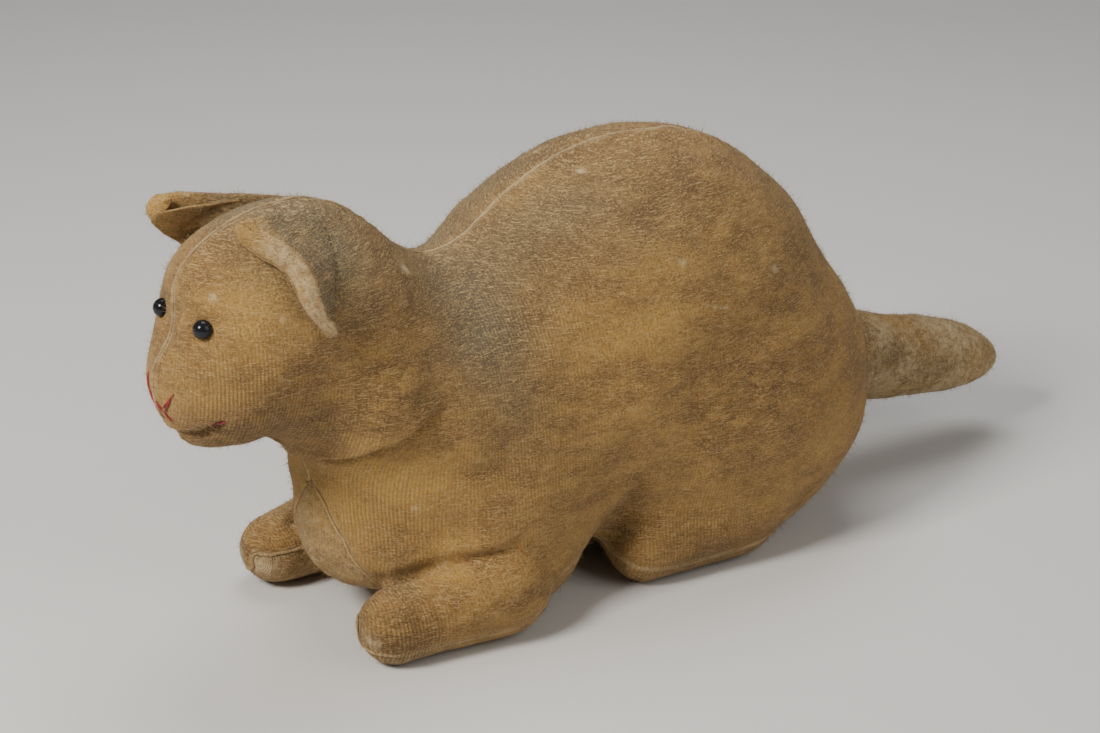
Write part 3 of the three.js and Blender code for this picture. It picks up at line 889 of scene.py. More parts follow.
def blown_up(points, faces, seam):
    """Simulates a coarse copy of the skin as cloth that is held along the seams and blown up from
    inside. Returns the copy's places at rest and how far each of them moved."""
    trial = make_mesh("trial_skin", points, faces)
    remesh = trial.modifiers.new("remesh", "REMESH")
    remesh.mode = "VOXEL"
    remesh.voxel_size = SWELL["voxel"] * MM
    coarse = bpy.data.meshes.new_from_object(trial.evaluated_get(bpy.context.evaluated_depsgraph_get()))
    trial.modifiers.clear()
    trial.data = coarse
    rest = places_of(coarse)
    tree = tree_of(metres(points) / MM)
    group = trial.vertex_groups.new(name="held")
    for i, place in enumerate(rest):
        gap = seam[tree.find(place)[1]]
        group.add([i], float(np.clip(1.5 - gap / SWELL["held"], 0, 1)), "REPLACE")
    cloth = trial.modifiers.new("cloth", "CLOTH").settings
    cloth.use_pressure = True
    cloth.uniform_pressure_force = SWELL["pressure"]
    cloth.vertex_group_mass = "held"
    cloth.effector_weights.gravity = 0
    cloth.quality = 5
    cloth.mass = SWELL["mass"]
    cloth.tension_stiffness = cloth.compression_stiffness = SWELL["stiffness"]
    for step in range(1, SWELL["frames"] + 1):
        bpy.context.scene.frame_set(step)
    shaped = trial.evaluated_get(bpy.context.evaluated_depsgraph_get())
    moved = places_of(shaped.data) - rest
    far = np.linalg.norm(moved, axis=1, keepdims=True)
    bpy.data.objects.remove(trial)
    bpy.context.scene.frame_set(1)
    return rest, moved * np.minimum(1, SWELL["cap"] / np.maximum(far, 1e-9))


def swelling(points, faces, seam):
    """How far stuffing moves each point of the skin."""
    rest, moved = blown_up(points, faces, seam)
    tree = tree_of(rest)
    carried = np.zeros_like(points)
    for i, place in enumerate(metres(points) / MM):
        close = tree.find_n(place, 6)
        weight = np.array([math.exp(-(gap / SWELL["voxel"]) ** 2) for _, _, gap in close])
        carried[i] = weight @ moved[[index for _, index, _ in close]] / weight.sum()
    return carried


class Skin:
    """The finished skin, and how far each place of the plain forms' surface moved to become it."""

    def __init__(self, before, after):
        self.moved = after - before
        self.tree = tree_of(before)

    def carry(self, points, spread=1.0):
        """Points near the plain surface, moved as the skin beside them moved."""
        points = np.atleast_2d(np.asarray(points, float))
        out = points.copy()
        for i, place in enumerate(points):
            close = self.tree.find_n(place, 8)
            least = close[0][2]
            weight = np.array([math.exp(-((gap - least) / spread) ** 2) for _, _, gap in close])
            out[i] += weight @ self.moved[[index for _, index, _ in close]] / weight.sum()
        return out


def cut_skin():
    """The plain forms' surface, as a mesh whose edges follow the seams: its points and faces, how
    far each point lies outside the gusset, and which points lie on the middle seam."""
    points, faces = surface_net(lambda p: body_field(drawn_in(p)), *BODY_BOX, PITCH)
    points = settle(body_field, drawn_in(points), faces)
    points, edge = snap_to_edge(points, faces, gusset_field(points))
    middle = np.abs(points[:, 0]) < PITCH * 0.3
    points[middle, 0] = 0
    return points, faces, edge, middle


def stuffed(points, faces, seam, middle):
    """The skin's points once the stuffing, the seams, the folds and handling have moved them."""
    normal = vertex_normals(points, faces)
    side = np.sign(points[:, 0])
    off_seam = 1 - np.exp(-(points[:, 0] / 6) ** 2)
    way = unit(normal * np.stack([off_seam, np.ones(len(points)), np.ones(len(points))], 1))
    from_socket = np.linalg.norm(points - TAIL_PIVOT, axis=1) - TAIL_ROOT_RADIUS - 1
    loose = np.clip(from_socket / 8, 0, 1)[:, None]  # the cloth by the tail's socket stays where it is
    small = points - way * SWELL["start"] * loose
    grown = evened(swelling(small, faces, seam), edges_of(faces), 30)
    points = small + (grown + way * lumps(points, seam)[:, None]) * loose
    points += nudged(points)
    points[:, 0] = side * np.maximum(points[:, 0] * side, 0.05)
    points[middle, 0] = 0
    points[:, 2] = np.maximum(points[:, 2], SOLE)
    return points


def add_body(cloth):
    """The three panels of the body's skin, their seams and their pile. Returns the finished skin."""
    before, faces, edge, middle = cut_skin()
    seam = np.where(edge < 0, np.abs(edge), np.minimum(np.abs(edge), np.abs(before[:, 0])))
    layers = surface_layers(before, wale_count(before, faces), seam)
    points = stuffed(before, faces, seam, middle)
    skin = Skin(before, points)
    in_gusset = edge[faces].sum(1) < 0
    on_left = before[faces][:, :, 0].sum(1) > 0
    choices = {"underbody_gusset": in_gusset, "left_side_panel": ~in_gusset & on_left,
               "right_side_panel": ~in_gusset & ~on_left}
    normal = vertex_normals(points, faces)
    add_seams(points, normal, faces, choices, cloth)
    add_pile("body_pile", points, faces, 42000, cloth, lambda piece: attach(piece, "cat_body"))
    throat = (edge < 0) & (points[:, 1] < GUSSET_WEAR["throat"])
    layers["soil"] = np.clip(layers["soil"] + GUSSET_WEAR["soil"] * (edge < 0), 0, 1)
    layers["worn"] = np.clip(layers["worn"] + GUSSET_WEAR["worn"] * throat, 0, 1)
    for name, chosen in choices.items():
        shaped, closed, used = shell(points, faces[chosen], FABRIC)
        panel = make_mesh(name + "_cloth", shaped, closed, on_both_faces(layers, used))
        dress(panel, cloth, "cat_body", [name])
    return skin


# ---- tubes and threads ----
def even_row(points, spacing, smooth):
    """A smooth row of points an even distance apart through the given ones."""
    row = np.array(points, float)
    for _ in range(smooth):
        row[1:-1] = 0.5 * row[1:-1] + 0.25 * (row[:-2] + row[2:])
    steps = np.linalg.norm(np.diff(row, axis=0), axis=1)
    at = np.concatenate([[0], np.cumsum(steps)])
    wanted = np.linspace(0, at[-1], max(int(round(at[-1] / spacing)), 2) + 1)
    return blend_at(wanted, at, row)


def frames_along(row, up):
    """A sideways and an upwards direction at each point of a row, square to its run."""
    run = unit(np.gradient(row, axis=0))
    side = unit(np.cross(run, np.broadcast_to(np.asarray(up, float), row.shape)))
    return side, np.cross(side, run)


def tube(row, up, radius, sides=6):
    """A closed round tube along a row of points; radius is one number or one for each point."""
    side, over = frames_along(row, up)
    radius = np.broadcast_to(np.asarray(radius, float), len(row))
    angle = np.arange(sides) / sides * 2 * math.pi
    ring = (np.cos(angle)[None, :, None] * side[:, None] + np.sin(angle)[None, :, None] * over[:, None])
    points = (row[:, None] + ring * radius[:, None, None]).reshape(-1, 3)
    points = np.concatenate([points, row[:1], row[-1:]])
    i, j = np.meshgrid(np.arange(len(row) - 1), np.arange(sides), indexing="ij")
    i, j, k = i.ravel(), j.ravel(), ((j + 1) % sides).ravel()
    walls = np.stack([i * sides + j, i * sides + k, (i + 1) * sides + k, (i + 1) * sides + j], 1).tolist()
    last = (len(row) - 1) * sides
    ends = [[len(points) - 2, (j + 1) % sides, j] for j in range(sides)]
    ends += [[len(points) - 1, last + j, last + (j + 1) % sides] for j in range(sides)]
    return points, walls + ends


def joined(parts):
    """Several meshes, as (points, faces) pairs, in one."""
    points, faces, start = [], [], 0
    for own, own_faces in parts:
        points.append(own)
        faces += [[v + start for v in face] for face in own_faces]
        start += len(own)
    return np.concatenate(points), faces


def twisted(row, up, radius, lay=1.6, plies=2):
    """A thread of several plies that wind round its line once every `lay` diameters."""
    row = even_row(row, radius * 0.6, smooth=1)
    side, over = frames_along(row, up)
    run = np.concatenate([[0], np.cumsum(np.linalg.norm(np.diff(row, axis=0), axis=1))])
    turn = run / (lay * 2 * radius) * 2 * math.pi
    parts = []
    for ply in range(plies):
        angle = turn + ply * 2 * math.pi / plies
        off = (np.cos(angle)[:, None] * side + np.sin(angle)[:, None] * over) * radius * 0.48
        parts.append(tube(row + off, up, radius * 0.56, 6))
    return joined(parts)


SEAM_CORD = (0.5, 0.7)  # radius of the turned edge of the gusset's seams, and of the back seam


def add_seams(points, normal, faces, choices, cloth):
    """The turned edges that stand up along the seams."""
    rows = {}
    for side in ("left", "right"):
        loop = np.array(open_loops(faces[choices[side + "_side_panel"]])[0])
        centre = np.abs(points[loop, 0]) < 0.3
        start = np.argmax(~centre & np.roll(centre, 1)) if centre.any() else 0
        loop, centre = np.roll(loop, -start), np.roll(centre, -start)
        rows[side + "_gusset_seam"] = loop[~centre]
        rows["back_seam"] = loop[centre]
    for name, row in rows.items():
        line = points[row] + normal[row] * 0.12
        up = normal[row]
        smooth_line = even_row(line, 0.6, smooth=3)
        share = np.linspace(0, 1, len(smooth_line))
        over = blend_at(share, np.linspace(0, 1, len(up)), up)
        radius = SEAM_CORD[name.split("_")[0] == "back"] + 0.12 * waves(smooth_line, 4, 21)
        smooth_line = smooth_line + over * (0.14 * waves(smooth_line, 9, 22) - 0.25)[:, None]
        made, walls = tube(smooth_line, over, np.maximum(radius, 0.2), 8)
        made[:, 2] = np.maximum(made[:, 2], SOLE)
        on_back = 0.35 * np.clip((made[:, 1] + 20) / 20, 0, 1) * (np.abs(made[:, 0]) < 1)
        layers = surface_layers(made, made[:, 1], 0.7 - on_back, worn=0.25 + on_back)
        dress(make_mesh(name + "_edge", made, walls, layers), cloth, "cat_body")


PILE = {"length": (0.7, 2.0), "thick": 0.065, "lean": 0.55, "bend": 0.25, "root": 0.15,
        "long_share": 0.02, "long": 3.0, "clear": 3}  # a few are `long` times longer; none near the floor


def add_pile(name, points, faces, count, cloth, carried):
    """Short fibres that stand out of the cloth, as needles rooted in its surface."""
    rng = np.random.default_rng(len(points) + count)
    normal = vertex_normals(points, faces)
    quads = points[faces]
    area = np.linalg.norm(np.cross(quads[:, 2] - quads[:, 0], quads[:, 3] - quads[:, 1]), axis=1)
    area *= (quads[:, :, 2].min(1) > PILE["clear"])
    chosen = rng.choice(len(faces), count, p=area / area.sum())
    u, v = rng.random((2, count, 1))
    q, n = quads[chosen], normal[faces[chosen]].mean(1)
    root = (q[:, 0] * (1 - u) + q[:, 1] * u) * (1 - v) + (q[:, 3] * (1 - u) + q[:, 2] * u) * v
    way = unit(n + rng.normal(size=(count, 3)) * PILE["lean"])
    size = rng.uniform(*PILE["length"], (count, 1))
    size = size * np.where(rng.random((count, 1)) < PILE["long_share"], PILE["long"], 1.0)
    side = unit(np.cross(way, rng.normal(size=(count, 3))))
    other = np.cross(way, side)
    tip = root + way * size + rng.normal(size=(count, 3)) * PILE["bend"] * size
    foot = root - n * PILE["root"]
    corners = [foot + PILE["thick"] * (math.cos(a) * side + math.sin(a) * other)
               for a in (0, math.pi * 2 / 3, math.pi * 4 / 3)]
    needle = np.stack([*corners, tip], 1).reshape(-1, 3)
    needle[:, 2] = np.maximum(needle[:, 2], SOLE + 0.05)
    first = np.arange(count)[:, None] * 4
    walls = np.concatenate([first + np.array(face) for face in ((0, 1, 3), (1, 2, 3), (2, 0, 3), (0, 2, 1))])
    layers = surface_layers(np.repeat(root, 4, 0), 0.0, NO_SEAM, worn=0.6)
    pile = make_mesh(name, needle, walls, layers)
    dress(pile, cloth)
    carried(pile)


def add_stuffing(fibre):
    """The filling inside the skin, one matted mass from the nose to the rump."""
    def fill_field(p):
        return body_field(p) + FILL_DEPTH + 0.3 * waves(p, 9, 31, count=8)

    points, faces = surface_net(fill_field, (-60, -112, -2), (60, 170, 150), 4)
    points = settle(fill_field, points, faces, rounds=2)
    points = points - vertex_normals(points, faces) * np.maximum(drawn_depth(points), 0)[:, None]
    points = points + nudged(points)
    legs = [side + leg for side in ("left", "right") for leg in ("_foreleg", "_hind_foot")]
    nodes = [place + "_stuffing" for place in ("head", "body", *legs)]
    stuffing = make_mesh("plant_fibre_stuffing", points, faces)
    dress(stuffing, fibre, "cat_body", nodes)


# ---- ears ----
EAR_ROOT = [(10, -58, 145.5), (16.5, -57, 143), (24, -59.5, 137), (31, -63.5, 127.5), (34, -69, 115.5)]
EAR_RIMS = {  # from the tip down the free edge to the root's lower end
    "left": [(9, -82, 148), (11, -86.5, 146), (18, -84, 142), (28, -78.5, 136.5),
             (34.5, -76.5, 126), (34, -69, 115.5)],
    "right": [(26, -91.5, 146.3), (27.8, -94.8, 143), (30, -90, 137), (33.5, -83, 131),
              (36.5, -76, 122), (34, -69, 115.5)],
}
EAR_ROLL = {"left": 2.0, "right": 3.0}  # radius of the rolled rim
EAR_LIFT = 0.3  # height of the ear's root over the head
EAR_CLOTH = 0.8  # thickness of each of the ear's two layers
EAR_ROWS = 96
# The wall that carries an ear's upper edge down to the head. Its reach falls from deep to shallow
# between two columns. Where it joins, it turns to the hem between two more columns.
EAR_WALL = {"rows": 16, "deep": 24, "shallow": 2.0, "falls": (31, 41), "turns": (12, 28), "bulge": 3.0,
            "joins": {"left": 0.0, "right": 1.0}, "hem": 0.55, "tucked": -2.0, "length": 8,
            "soft_rows": 8, "rounds": 40}
EAR_BEND = ((23, -59, 138), (24.5, -66, 139.5))  # the cloth turns from the head to the ear between these
EAR_WEAR = {"left": {"soil": 1.0, "rim": 0.62}, "right": {"soil": 0.75, "rim": 0.4}}
EAR_LINING_WEAR = {"soil": 0.35, "worn": 0.1}
EAR_BALD_SPOT = {"at": (-17, -75, 143.5), "radius": 2.6, "strength": 1.1}


def curve_through(points, share):
    """Points of a smooth curve through the given ones, at shares of its length."""
    points = np.array(points, float)
    ends = np.concatenate([[2 * points[0] - points[1]], points, [2 * points[-1] - points[-2]]])
    fine = []
    for i in range(len(points) - 1):
        a, b, c, d = ends[i : i + 4]
        for t in np.linspace(0, 1, 12, endpoint=False):
            fine.append(0.5 * (2 * b + (c - a) * t + (2 * a - 5 * b + 4 * c - d) * t * t
                               + (3 * b - a - 3 * c + d) * t ** 3))
    fine = np.array(fine + [points[-1]])
    steps = np.linalg.norm(np.diff(fine, axis=0), axis=1)
    at = np.concatenate([[0], np.cumsum(steps)]) / steps.sum()
    return blend_at(share, at, fine)


def ear_section(width, under, roll_radius):
    """The outline across an ear from its root out over the face, round the rolled rim and back
    under it, as rows of (out, up) for each width. `under` gives the lining instead."""
    roll = np.minimum(roll_radius, width * 0.45)[:, None]
    width = width[:, None]
    if under:
        share = np.linspace(0.08, 1, 24)[None]
        out = share * (width - roll * 0.3)
        return out, -0.3 - 1.25 * np.sin(share * math.pi * 0.62) * roll
    face = np.linspace(0, 1, 26)[None]
    rise = np.clip((face - 0.55) / 0.3, 0, 1)
    swell = roll * (0.45 * np.clip(face / 0.15, 0, 1) + 0.55 * rise * rise * (3 - 2 * rise))
    hollow = -0.5 * np.sin(np.clip(face / 0.75, 0, 1) * math.pi) ** 2
    face_out = face * (width - roll)
    face_up = hollow * roll / roll_radius + swell
    angle = np.linspace(math.pi / 2, -math.pi * 0.6, 17)[None, 1:]
    rim_out = width - roll + roll * np.cos(angle)
    rim_up = roll * np.sin(angle)
    return np.concatenate([face_out, rim_out], 1), np.concatenate([face_up, rim_up], 1)


def ear_wall(top, way, hem, joins):
    """Rows that carry the ear's upper edge on down to the head, deep at its root and shallow at its
    tip. Where it joins, its outer columns end along the hem, the middle of the rolled rim."""
    down = unit((0, 0, -0.9) - 0.5 * gradient(body_field, top))
    room = np.zeros(len(top))
    for _ in range(24):
        room += np.maximum(body_field(top + down * room[:, None]) + 1.6, 0)
    column = np.arange(len(top))
    last = len(top) - 1
    first_turn, last_turn = EAR_WALL["turns"]
    first_fall, last_fall = EAR_WALL["falls"]
    fallen = np.clip((column - first_fall) / (last_fall - first_fall), 0, 1)
    reach = np.minimum(room, EAR_WALL["shallow"] + EAR_WALL["deep"] * np.sqrt(1 - fallen ** 2))
    turned = np.clip((column - first_turn) / (last_turn - first_turn), 0, 1)
    turned = (joins * turned ** 2 * (3 - 2 * turned))[:, None]
    at = np.clip((last - column) / (last - first_turn), 0, 1) * EAR_WALL["hem"] * (len(hem) - 1)
    on_hem = blend_at(at, np.arange(len(hem)), hem)
    fall = (down * reach[:, None]) * (1 - turned) + (on_hem - top) * turned
    share = np.linspace(1, 0, EAR_WALL["rows"], endpoint=False)[:, None, None]
    bulge = EAR_WALL["bulge"] * np.clip(reach / 6, 0, 1)[None, :, None] * np.sin(share * math.pi) ** 0.7
    return top + fall * share + way * bulge


def soften(grid, rounds):
    """Rounds off a grid of points in place, all but its border."""
    for _ in range(rounds):
        grid[1:-1, 1:-1] = (grid[:-2, 1:-1] + grid[2:, 1:-1] + grid[1:-1, :-2] + grid[1:-1, 2:]) / 4


def ear_lines(side, share):
    """At shares of an ear's length: its root, its rim, the directions out over it, up from it and
    along it, and its width."""
    root = curve_through([on_surface(body_field, [p], EAR_LIFT)[0] for p in EAR_ROOT], share)
    rim = curve_through(EAR_RIMS[side], share)
    lift = EAR_LIFT + EAR_ROLL[side]
    low = body_field(rim) < lift
    rim[low] = on_surface(body_field, rim[low], lift)
    out = rim - root
    width = np.linalg.norm(out, axis=1)
    out /= width[:, None]
    middle = (root + rim) / 2
    run = np.gradient(middle, axis=0)
    up = unit(np.cross(out, run))
    up *= np.sign((up * gradient(body_field, middle)).sum(1, keepdims=True))
    return root, rim, out, up, run, width


def ear_grid(side, under):
    """An ear's outer layer, or its lining, as rows across it: the points, the way up, the share of
    the width, how deep each point may sink into the head, and the place along the cloth."""
    share = np.linspace(0.03 if under else 0, 0.985, EAR_ROWS)
    root, rim, out, up, run, width = ear_lines(side, share)
    along, over = ear_section(width, under, EAR_ROLL[side])
    if not under:
        edge = np.clip(share / 0.05, 0, 1)[:, None]
        over = over * np.sqrt(edge * (2 - edge) + 0.15)
    out_share = along / width[:, None]
    arch = 1.6 * np.sin(np.clip(out_share, 0, 1) * math.pi)
    columns = along.shape[1]
    sink = np.clip(np.arange(columns) / 3, 0, 1) * 0.5 - 0.4
    grid = {
        "points": root[:, None] + out[:, None] * along[..., None] + up[:, None] * (over + arch)[..., None],
        "up": up, "share": out_share, "sink": np.tile(sink, (EAR_ROWS, 1)),
        "length": share * np.linalg.norm(np.diff(rim, axis=0), axis=1).sum(),
    }
    if under:
        return grid
    hem = root + out * (width - EAR_ROLL[side])[:, None]
    wall = ear_wall(grid["points"][0], -run[0] / np.linalg.norm(run[0]), hem, EAR_WALL["joins"][side])
    rows = len(wall)
    walled = {
        "points": wall, "up": np.repeat(up[:1], rows, 0), "share": np.repeat(out_share[:1], rows, 0),
        "sink": np.full((rows, columns), EAR_WALL["tucked"]),
        "length": np.linspace(-EAR_WALL["length"], 0, rows, endpoint=False),
    }
    grid = {key: np.concatenate([walled[key], grid[key]]) for key in grid}
    soften(grid["points"][: rows + EAR_WALL["soft_rows"]], EAR_WALL["rounds"])
    return grid


def ear_surface(skin, side, under):
    """An ear layer's points, faces, places along the cloth and shares of the width, as on the left."""
    grid = ear_grid(side, under)
    rows, columns = grid["share"].shape
    points, sink, up = grid["points"].reshape(-1, 3), grid["sink"].ravel(), np.repeat(grid["up"], columns, 0)
    too_deep = sink - body_field(points)
    near = too_deep > 0
    points[near] = points[near] + gradient(body_field, points[near]) * too_deep[near][:, None]
    follow = np.exp(-(np.tile(np.arange(columns), rows)[:, None] / (columns * 0.35)) ** 2)
    below = on_surface(body_field, points)
    points = points + (skin.carry(below, 3.0) - below) * follow
    points = points + 0.18 * waves(points, 6, 41)[:, None] * up
    i, j = np.meshgrid(np.arange(rows - 1), np.arange(columns - 1), indexing="ij")
    first = (i * columns + j).ravel()
    faces = np.stack([first, first + columns, first + columns + 1, first + 1], 1)
    if (vertex_normals(points, faces) * up).sum() < 0:
        faces = faces[:, ::-1]
    if under:
        faces = faces[:, ::-1]
    return points, faces, np.repeat(grid["length"], columns), grid["share"].ravel()


def ear_layers(points, side, under, wale, out):
    """The velveteen's named values on an ear: a soiled face, a rim worn pale and a golden tip."""
    on_rim = np.clip((out - 0.6) / 0.15, 0, 1)
    way = 1 if side == "left" else -1
    tip = spot(points * (way, 1, 1), EAR_RIMS[side][1], 9)
    soil = EAR_WEAR[side]["soil"] * (1 - on_rim * 0.9)
    worn = EAR_WEAR[side]["rim"] * on_rim * (1 - tip) + 0.45 * np.exp(-(out / 0.06) ** 2)
    bald = EAR_BALD_SPOT["strength"] * spot(points, EAR_BALD_SPOT["at"], EAR_BALD_SPOT["radius"])
    worn = np.maximum(worn, bald)
    if under:
        soil, worn = (np.full(len(points), EAR_LINING_WEAR[key]) for key in ("soil", "worn"))
    layers = surface_layers(points, wale, NO_SEAM)
    layers.update(soil=soil, worn=worn, tone=tip * 1.2, ribbed=np.full(len(points), 0.15))
    return layers


def add_ears(skin, cloth, thread):
    """Each ear's outer layer, lining, pile and root stitches."""
    for side, way in (("left", 1), ("right", -1)):
        start, end = (tuple(metres(np.array(place) * (way, 1, 1))) for place in EAR_BEND)

        def carried(piece, ear=side + "_ear", start=start, end=end):
            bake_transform(piece)

        add_ear_root_stitches(skin, side, way, thread)
        for kind, under in (("outer", False), ("lining", True)):
            points, faces, wale, out = ear_surface(skin, side, under)
            if way < 0:
                points, faces = points * (-1, 1, 1), faces[:, ::-1]
            shaped, closed, used = shell(points, faces, EAR_CLOTH)
            name = side + "_ear_" + kind
            layers = on_both_faces(ear_layers(points, side, under, wale, out), used)
            ear = make_mesh(name + "_cloth", shaped, closed, layers)
            dress(ear, cloth, nodes=[name])
            carried(ear)
            add_pile(name + "_pile", points, faces, 1500, cloth, carried)


def add_ear_root_stitches(skin, side, way, thread):
    """Small slanting stitches that catch the ear's root edge to the head."""
    root = curve_through([on_surface(body_field, [p])[0] for p in EAR_ROOT], np.linspace(0.04, 0.96, 40))
    normal = gradient(body_field, root)
    run = unit(np.gradient(root, axis=0))
    out = np.cross(run, normal)
    parts = []
    for i in range(1, 39, 3):
        start, end = root[i] - out[i] * 0.9 + run[i] * 0.5, root[i] + out[i] * 0.9 - run[i] * 0.5
        parts.append(stitch(skin, start, end, 0.17, bury=0.5, lift=0.35))
    points, faces = joined(parts)
    stitches = make_mesh(side + "_ear_root_thread", points * (way, 1, 1),
                         faces if way > 0 else [face[::-1] for face in faces])
    dress(stitches, thread, "cat_body", [side + "_ear_root_stitches"])


# ---- face ----
NOSE_STITCHES = [  # (one end, other end) of each thread
    ((8.6, -107, 98.6), (2.4, -108.5, 91.6)),
    ((7.4, -107.3, 97.2), (2.8, -108, 90.4)),
    ((-5.0, -108.8, 101.6), (-1.6, -109, 95.0)),
    ((-3.2, -109, 97.6), (2.6, -108.4, 91.0)),
    ((-2.6, -109, 96.0), (2.2, -108.4, 90.2)),
    ((2.4, -108.3, 91.2), (4.4, -106, 87.6)),
]
MOUTH_START, MOUTH_END = (12.0, -99.6, 85.2), (20.0, -96.6, 90.8)


def stitch(skin, a, b, radius, bury=1.2, lift=0.0):
    """One stitch: a twisted thread that lies on the cloth and dives in at both ends."""
    share = np.linspace(0, 1, 9)
    line = np.array(a, float) + np.outer(share, np.subtract(b, a))
    line = on_surface(body_field, line, lift)
    normal = gradient(body_field, line)
    rise = radius * 0.7 - bury * np.abs(2 * share - 1) ** 8
    return twisted(skin.carry(line) + normal * rise[:, None], normal.mean(0), radius)


def add_face(skin, red):
    """The stitched nose and mouth."""
    threads = [stitch(skin, a, b, 0.32, bury=1.0, lift=0.15) for a, b in NOSE_STITCHES]
    nose = make_mesh("nose_stitches_thread", *joined(threads))
    rows = {"nose_stitches": nose}
    for side, way in (("left", 1), ("right", -1)):
        turned = np.array((way, 1, 1.0))
        start, end = np.array(MOUTH_START) * turned, np.array(MOUTH_END) * turned
        parts = [stitch(skin, start + (0, 0, k), end + (0, 0, k * 0.4), 0.3, bury=1.6, lift=0.5)
                 for k in (-0.35, 0.35)]
        rows[side + "_mouth_stitch"] = make_mesh(side + "_mouth_stitch_thread", *joined(parts))
    for name, obj in rows.items():
        dress(obj, red, "cat_body", [name])


TAIL_PROFILE = [(0, 0), (0.5, 2.3), (1.4, 3.9), (3.5, 6.0), (6.8, 8.2), (13.6, 10.8), (20.4, 12.6),
                (27.2, 13.9), (40, 14.6), (55, 15.6), (65, 16.5)]  # (distance from the tip, radius)
TAIL_LONGER = 1.9  # how far stuffing stretches the tail
TAIL_COVER = 3.15  # the tail's filling lies this deep under its outer surface


def tail_distance(p):
    return limb(p, TAIL_PIVOT, TAIL_TIP, TAIL_ROOT_RADIUS, TAIL_TIP_RADIUS)


def tail_surface():
    """The tail's points and faces, and how far along it each point lies. The plain limb is drawn out
    to the tail's own profile, and its first few millimetres stay a ball that turns in the socket."""
    axis = TAIL_TIP - TAIL_PIVOT
    length = np.linalg.norm(axis)
    low = np.minimum(TAIL_PIVOT, TAIL_TIP) - 20
    high = np.maximum(TAIL_PIVOT, TAIL_TIP) + 20
    points, faces = surface_net(tail_distance, low, high, PITCH)
    points = settle(tail_distance, points, faces)
    along = (points - TAIL_PIVOT) @ axis / length
    middle = TAIL_PIVOT + np.outer(along, axis / length)
    cap = np.sqrt(np.maximum(TAIL_TIP_RADIUS ** 2 - np.maximum(along - length, 0) ** 2, 1e-6))
    cone = TAIL_ROOT_RADIUS + (TAIL_TIP_RADIUS - TAIL_ROOT_RADIUS) * along / length
    own = np.where(along > length, cap, cone)
    whole = length + TAIL_TIP_RADIUS
    left = np.clip(1 - along / whole, 0, 1) * whole
    from_tip, radii = zip(*TAIL_PROFILE)
    wanted = np.interp(np.sqrt(left), np.sqrt(from_tip), radii)
    ratio = np.where(along > 4, wanted / np.maximum(own, 0.3), 1)
    points = middle + (points - middle) * np.clip(ratio, 0.3, 1.25)[:, None]
    points += np.outer(TAIL_LONGER * np.clip(along / length, 0, 1), axis / length)
    wave = 0.5 * waves(points, 24, 11) + 0.2 * waves(points, 9, 12)
    wave *= np.clip((along - 2) / 10, 0, 1)
    return points + vertex_normals(points, faces) * wave[:, None], faces, along


def add_tail(cloth, fibre):
    """The tail's cover, its pile and its filling."""
    points, faces, along = tail_surface()
    layers = surface_layers(points, along, NO_SEAM)
    # The tail's cloth is paler and less grey than the body's. This is partly rubbed wear and grime, and
    # partly painted light that brightens the tail where the key light leaves it in shade.
    layers["soil"] = np.clip(0.4 + 0.25 * waves(points, 30, 4), 0, 1)
    layers["worn"] = np.clip(0.52 + 0.15 * waves(points, 14, 6), 0, 1)
    layers["ribbed"] = np.full(len(points), 0.25)
    tail = make_mesh("tail_cloth", points, faces, layers)
    dress(tail, cloth, "tail", ["tail_cover"])
    add_pile("tail_pile", points, faces, 3500, cloth, lambda piece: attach(piece, "tail"))
    inner = evened(points - vertex_normals(points, faces) * TAIL_COVER, edges_of(faces), 4)
    filling = make_mesh("tail_fibre_stuffing", inner, faces)
    dress(filling, fibre, "tail", ["tail_stuffing"])


EYE_RADIUS = 3.05
BEAD_SINK = {"left": (0.9, 0.2), "right": (1.2, 2.6)}  # how far the thread pulls each bead in and down
# The thread is pulled straight through the stuffing, behind the brow.
EYE_THREAD = {"back": (0, 9, 0), "radius": 0.45}


def add_beads(skin, glass, tan):
    """The two eyes, drawn into the face by the thread between them."""
    places = []
    for side in ("left", "right"):
        low, high = (millimetres(corner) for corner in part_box(side + "_eye_bead"))
        centre = (low + high) / 2
        outward = gradient(body_field, centre[None])[0]
        rest = on_surface(body_field, centre[None])
        sink = np.array(BEAD_SINK[side])
        centre = centre + (skin.carry(rest, 3.0) - rest)[0] - outward * sink[0] - (0, 0, sink[1])
        points, faces = surface_net(lambda p: np.linalg.norm(p - centre, axis=1) - EYE_RADIUS,
                                    centre - 4, centre + 4, 0.35)
        points = centre + (points - centre) * EYE_RADIUS / np.linalg.norm(points - centre, axis=1)[:, None]
        bead = make_mesh(side + "_eye_glass", points, faces)
        dress(bead, glass, "cat_body", [side + "_eye_bead"])
        places.append(centre)
    turn = (places[0] + places[1]) / 2 + EYE_THREAD["back"]
    line = even_row([places[0], turn, places[1]], 1.0, smooth=0)
    thread = make_mesh("eye_thread_twist", *twisted(line, (0, 0, 1), EYE_THREAD["radius"]))
    dress(thread, tan, "cat_body", ["eye_thread"])


# ---- sewing ----
ROOT_STITCHES = {"count": 40, "outer": 0.10, "inner": 0.07, "slant": 0.04, "radius": 0.2}  # in radians
CLOSING_STITCHES = {"count": 8, "spacing": 3, "inner": 20, "outer": 24, "front": 14, "height": 8,
                    "radius": 0.22}


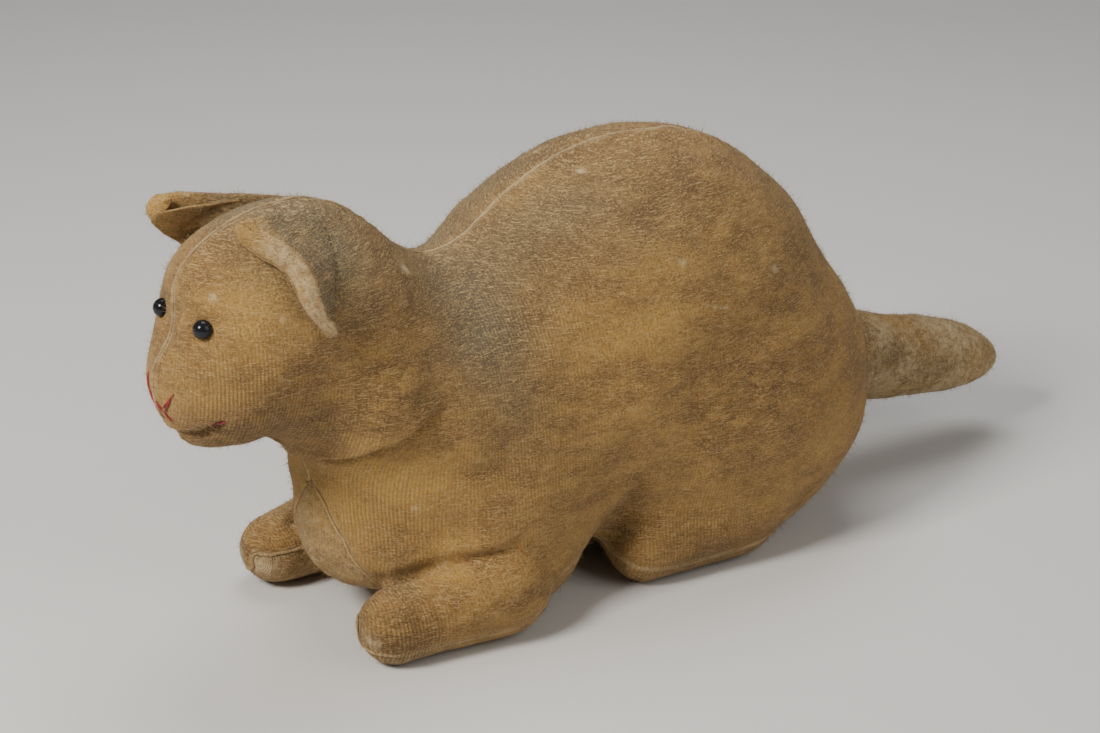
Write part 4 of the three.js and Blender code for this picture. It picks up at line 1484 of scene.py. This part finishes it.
def tail_root_threads():
    """Slanting stitches round the tail's root, each from the rump's cloth over the gap into the tail's."""
    axis = (TAIL_TIP - TAIL_PIVOT) / np.linalg.norm(TAIL_TIP - TAIL_PIVOT)
    across = np.cross(axis, (0, 0, 1.0))
    across /= np.linalg.norm(across)
    over = np.cross(across, axis)
    reach = TAIL_ROOT_RADIUS + 0.9

    def on_ball(angle, turn):
        out = math.cos(turn) * across + math.sin(turn) * over
        return TAIL_PIVOT + reach * (np.outer(np.cos(angle), axis) + np.outer(np.sin(angle), out))

    angles = np.radians(np.arange(30, 160, 0.5))
    parts = []
    slant = ROOT_STITCHES["slant"]
    for turn in np.linspace(0, 2 * math.pi, ROOT_STITCHES["count"], endpoint=False):
        lip = angles[np.argmax(body_field(on_ball(angles, turn)) < 0)]
        outer = on_ball(np.array([lip + ROOT_STITCHES["outer"]]), turn + slant)
        outer = on_surface(body_field, outer, 0.1)[0]
        inner = on_ball(np.array([lip - ROOT_STITCHES["inner"]]), turn - slant)
        inner = on_surface(tail_distance, inner, 0.1)[0]
        share = np.linspace(0, 1, 9)[:, None]
        way = gradient(body_field, outer[None])[0] + gradient(tail_distance, inner[None])[0]
        way /= np.linalg.norm(way)
        rise = 0.3 * np.sin(share * math.pi) - 0.7 * np.abs(2 * share - 1) ** 8
        parts.append(twisted(outer + share * (inner - outer) + rise * way, way, ROOT_STITCHES["radius"]))
    return joined(parts)


def closing_threads(skin):
    """The zigzag of stitches that closed the opening for the stuffing, beside the belly's seam."""
    c = CLOSING_STITCHES
    line = [(c["inner"] if i % 2 else c["outer"], c["front"] + i * c["spacing"], c["height"])
            for i in range(c["count"] + 1)]
    return joined([stitch(skin, a, b, c["radius"], bury=0.5, lift=0.1) for a, b in zip(line[:-1], line[1:])])


def add_sewing(skin, thread):
    """The stitches that hold the tail and close the belly."""
    rows = {"tail_root_stitches": tail_root_threads(), "closing_stitches": closing_threads(skin)}
    for name, (points, faces) in rows.items():
        sewing = make_mesh(name + "_thread", points, faces)
        dress(sewing, thread, "cat_body", [name])


def add_tail_root_filling(fibre):
    """The wad of fibre that fills the tail's root and turns with its first joint."""
    low, high = (millimetres(corner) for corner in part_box("tail_root_stuffing"))
    centre = (low + high) / 2
    radius = (high - low).min() / 2 - 0.6

    def wad_field(p):
        return np.linalg.norm(p - centre, axis=1) - radius

    points, faces = surface_net(wad_field, centre - radius - 3, centre + radius + 3, 1.5)
    points = settle(wad_field, points, faces, rounds=2)
    points = points + vertex_normals(points, faces) * 0.3 * waves(points, 8, 51)[:, None]
    wad = make_mesh("tail_root_fibre_wad", points, faces)
    dress(wad, fibre, "tail_root", ["tail_root_stuffing"])


add_stage()
add_camera()
add_world()
cloth = velveteen()
red = simple_cloth("faded_red_thread", (0.42, 0.02, 0.03), (0.22, 0.01, 0.02), 3000)
tan = simple_cloth("tan_thread", (0.5, 0.38, 0.2), (0.36, 0.26, 0.13), 3000)
fibre = simple_cloth("matted_fibre", (0.62, 0.54, 0.38), (0.42, 0.34, 0.2), 1200)
skin = add_body(cloth)
add_stuffing(fibre)
add_tail(cloth, fibre)
add_ears(skin, cloth, tan)
add_beads(skin, bead_glass(), tan)
add_face(skin, red)
add_sewing(skin, tan)
add_tail_root_filling(fibre)
